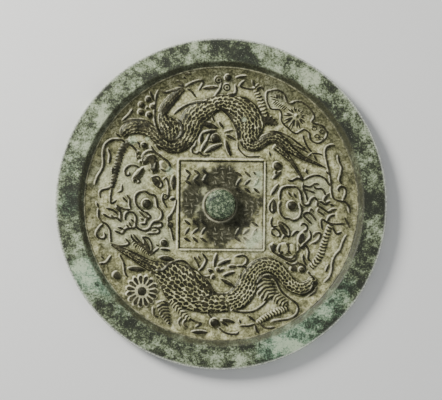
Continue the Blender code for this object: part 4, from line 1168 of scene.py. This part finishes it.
# The reflecting face, on the underside. It was ground flat and polished with tin amalgam, and has since gone
# dull: a grey skin with brown bloom and pits of green. Its scratches from cleaning are not drawn.
FACE_RINGS = 66
face_x, face_y = wrapped_grid(FACE_RINGS, MIRROR_RADIUS - FOOT_CHAMFER)
face_places = np.stack([face_x, face_y, 0 * face_x], axis=-1)[::-1]
face_normals = np.zeros_like(face_places)
face_normals[..., 2] = -1
face = quad_mesh("reflecting_face", face_places, face_normals, {})


def dulled_polish():
    """Tin-rich bronze polished as a mirror, now clouded by corrosion."""
    material, tree, shader, (broad, blotch, fleck) = start_material(
        "dulled_polish", [(26, 5, 0.6, 0), (6, 5, 0.6, 0.6), (1.4, 4, 0.6, 0.9)]
    )
    tone = add_node(tree, "Math", [broad, blotch], operation="MULTIPLY")
    tone = add_node(tree, "Math", [blotch, 0.4, tone], **WEIGHTED)
    tone = add_node(tree, "Math", [fleck, 0.25, tone], **WEIGHTED)
    cloud = add_node(tree, "MapRange", [tone, 0.48, 0.66], **SOFT)
    green = ragged_edge(tree, blotch, fleck, 0.6, 0.92, 1.02, most=0.9)
    polish = add_node(tree, "ValToRGB", [blotch], stops=[(0.3, "#6E6C5C"), (0.7, "#8D8C7C")])
    colour = coated(tree, polish, [
        (cloud, fleck, [(0.3, "#3B3A2C"), (0.55, "#5D5B45"), (0.75, "#7D8670")]),
        (green, fleck, [(0.3, "#4E7560"), (0.7, "#8FA98F")]),
    ])
    dulled = add_node(tree, "Math", [cloud, green], operation="MAXIMUM")
    fill_sockets(tree, shader, {
        "Base Color": colour, "Metallic": add_node(tree, "MapRange", [dulled, 0, 1, 0.9, 0], **SOFT),
        "Roughness": ragged_edge(tree, cloud, fleck, 0.3, 0, 1.1, 0.28, 0.8),
        "Normal": add_node(tree, "Bump", {"Height": tone, "Strength": 0.3, "Distance": 0.00015}),
    })
    return material


face.data.materials.append(dulled_polish())
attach(face, "root")
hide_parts("bronze_mirror")


# A pale table, and studio light as for a museum's record shot: one broad soft lamp from the
# upper left, a wide weak one from the right, and an even pale room round them.
shape = bmesh.new()
bmesh.ops.create_grid(shape, x_segments=1, y_segments=1, size=3.0)
table = piece_of("table", shape)
table.location = (0, 0, -0.0002)
table_top, tree, shader, _ = start_material("pale_card")
fill_sockets(tree, shader, {"Base Color": linear_colour("#F4F4F2"), "Roughness": 0.9})
table.data.materials.append(table_top)

LAMPS = [
    ("key_lamp", (-0.76, 0.61, 0.60), 0.40, 21, "#FFFEFA"),
    ("right_lamp", (0.95, -0.35, 1.00), 1.10, 3.5, "#F6FAFF"),
]
for name, place, width, power, code in LAMPS:
    light = bpy.data.lights.new(name, "AREA")
    light.shape = "DISK"
    light.size = width
    light.energy = power
    light.color = linear_colour(code)[:3]
    lamp = in_scene(name, light)
    lamp.location = place
    lamp.rotation_euler = (-Vector(place)).to_track_quat("-Z", "Y").to_euler()
room = bpy.data.worlds.new("pale_room")
room.use_nodes = True
even_light = {"Color": linear_colour("#EEF0F2"), "Strength": 0.36}
fill_sockets(room.node_tree, room.node_tree.nodes["Background"], even_light)
bpy.context.scene.world = room

# The camera, on the column of a copy stand. It looks straight down, from high enough that the
# knob and the rim hide nothing of the field.
eye = bpy.data.cameras.new("copy_stand")
eye.lens = 85
eye.sensor_width = 36
camera = in_scene("copy_stand", eye)
camera.location = (-0.00012, 0.00258, 0.6967)
bpy.context.scene.camera = camera
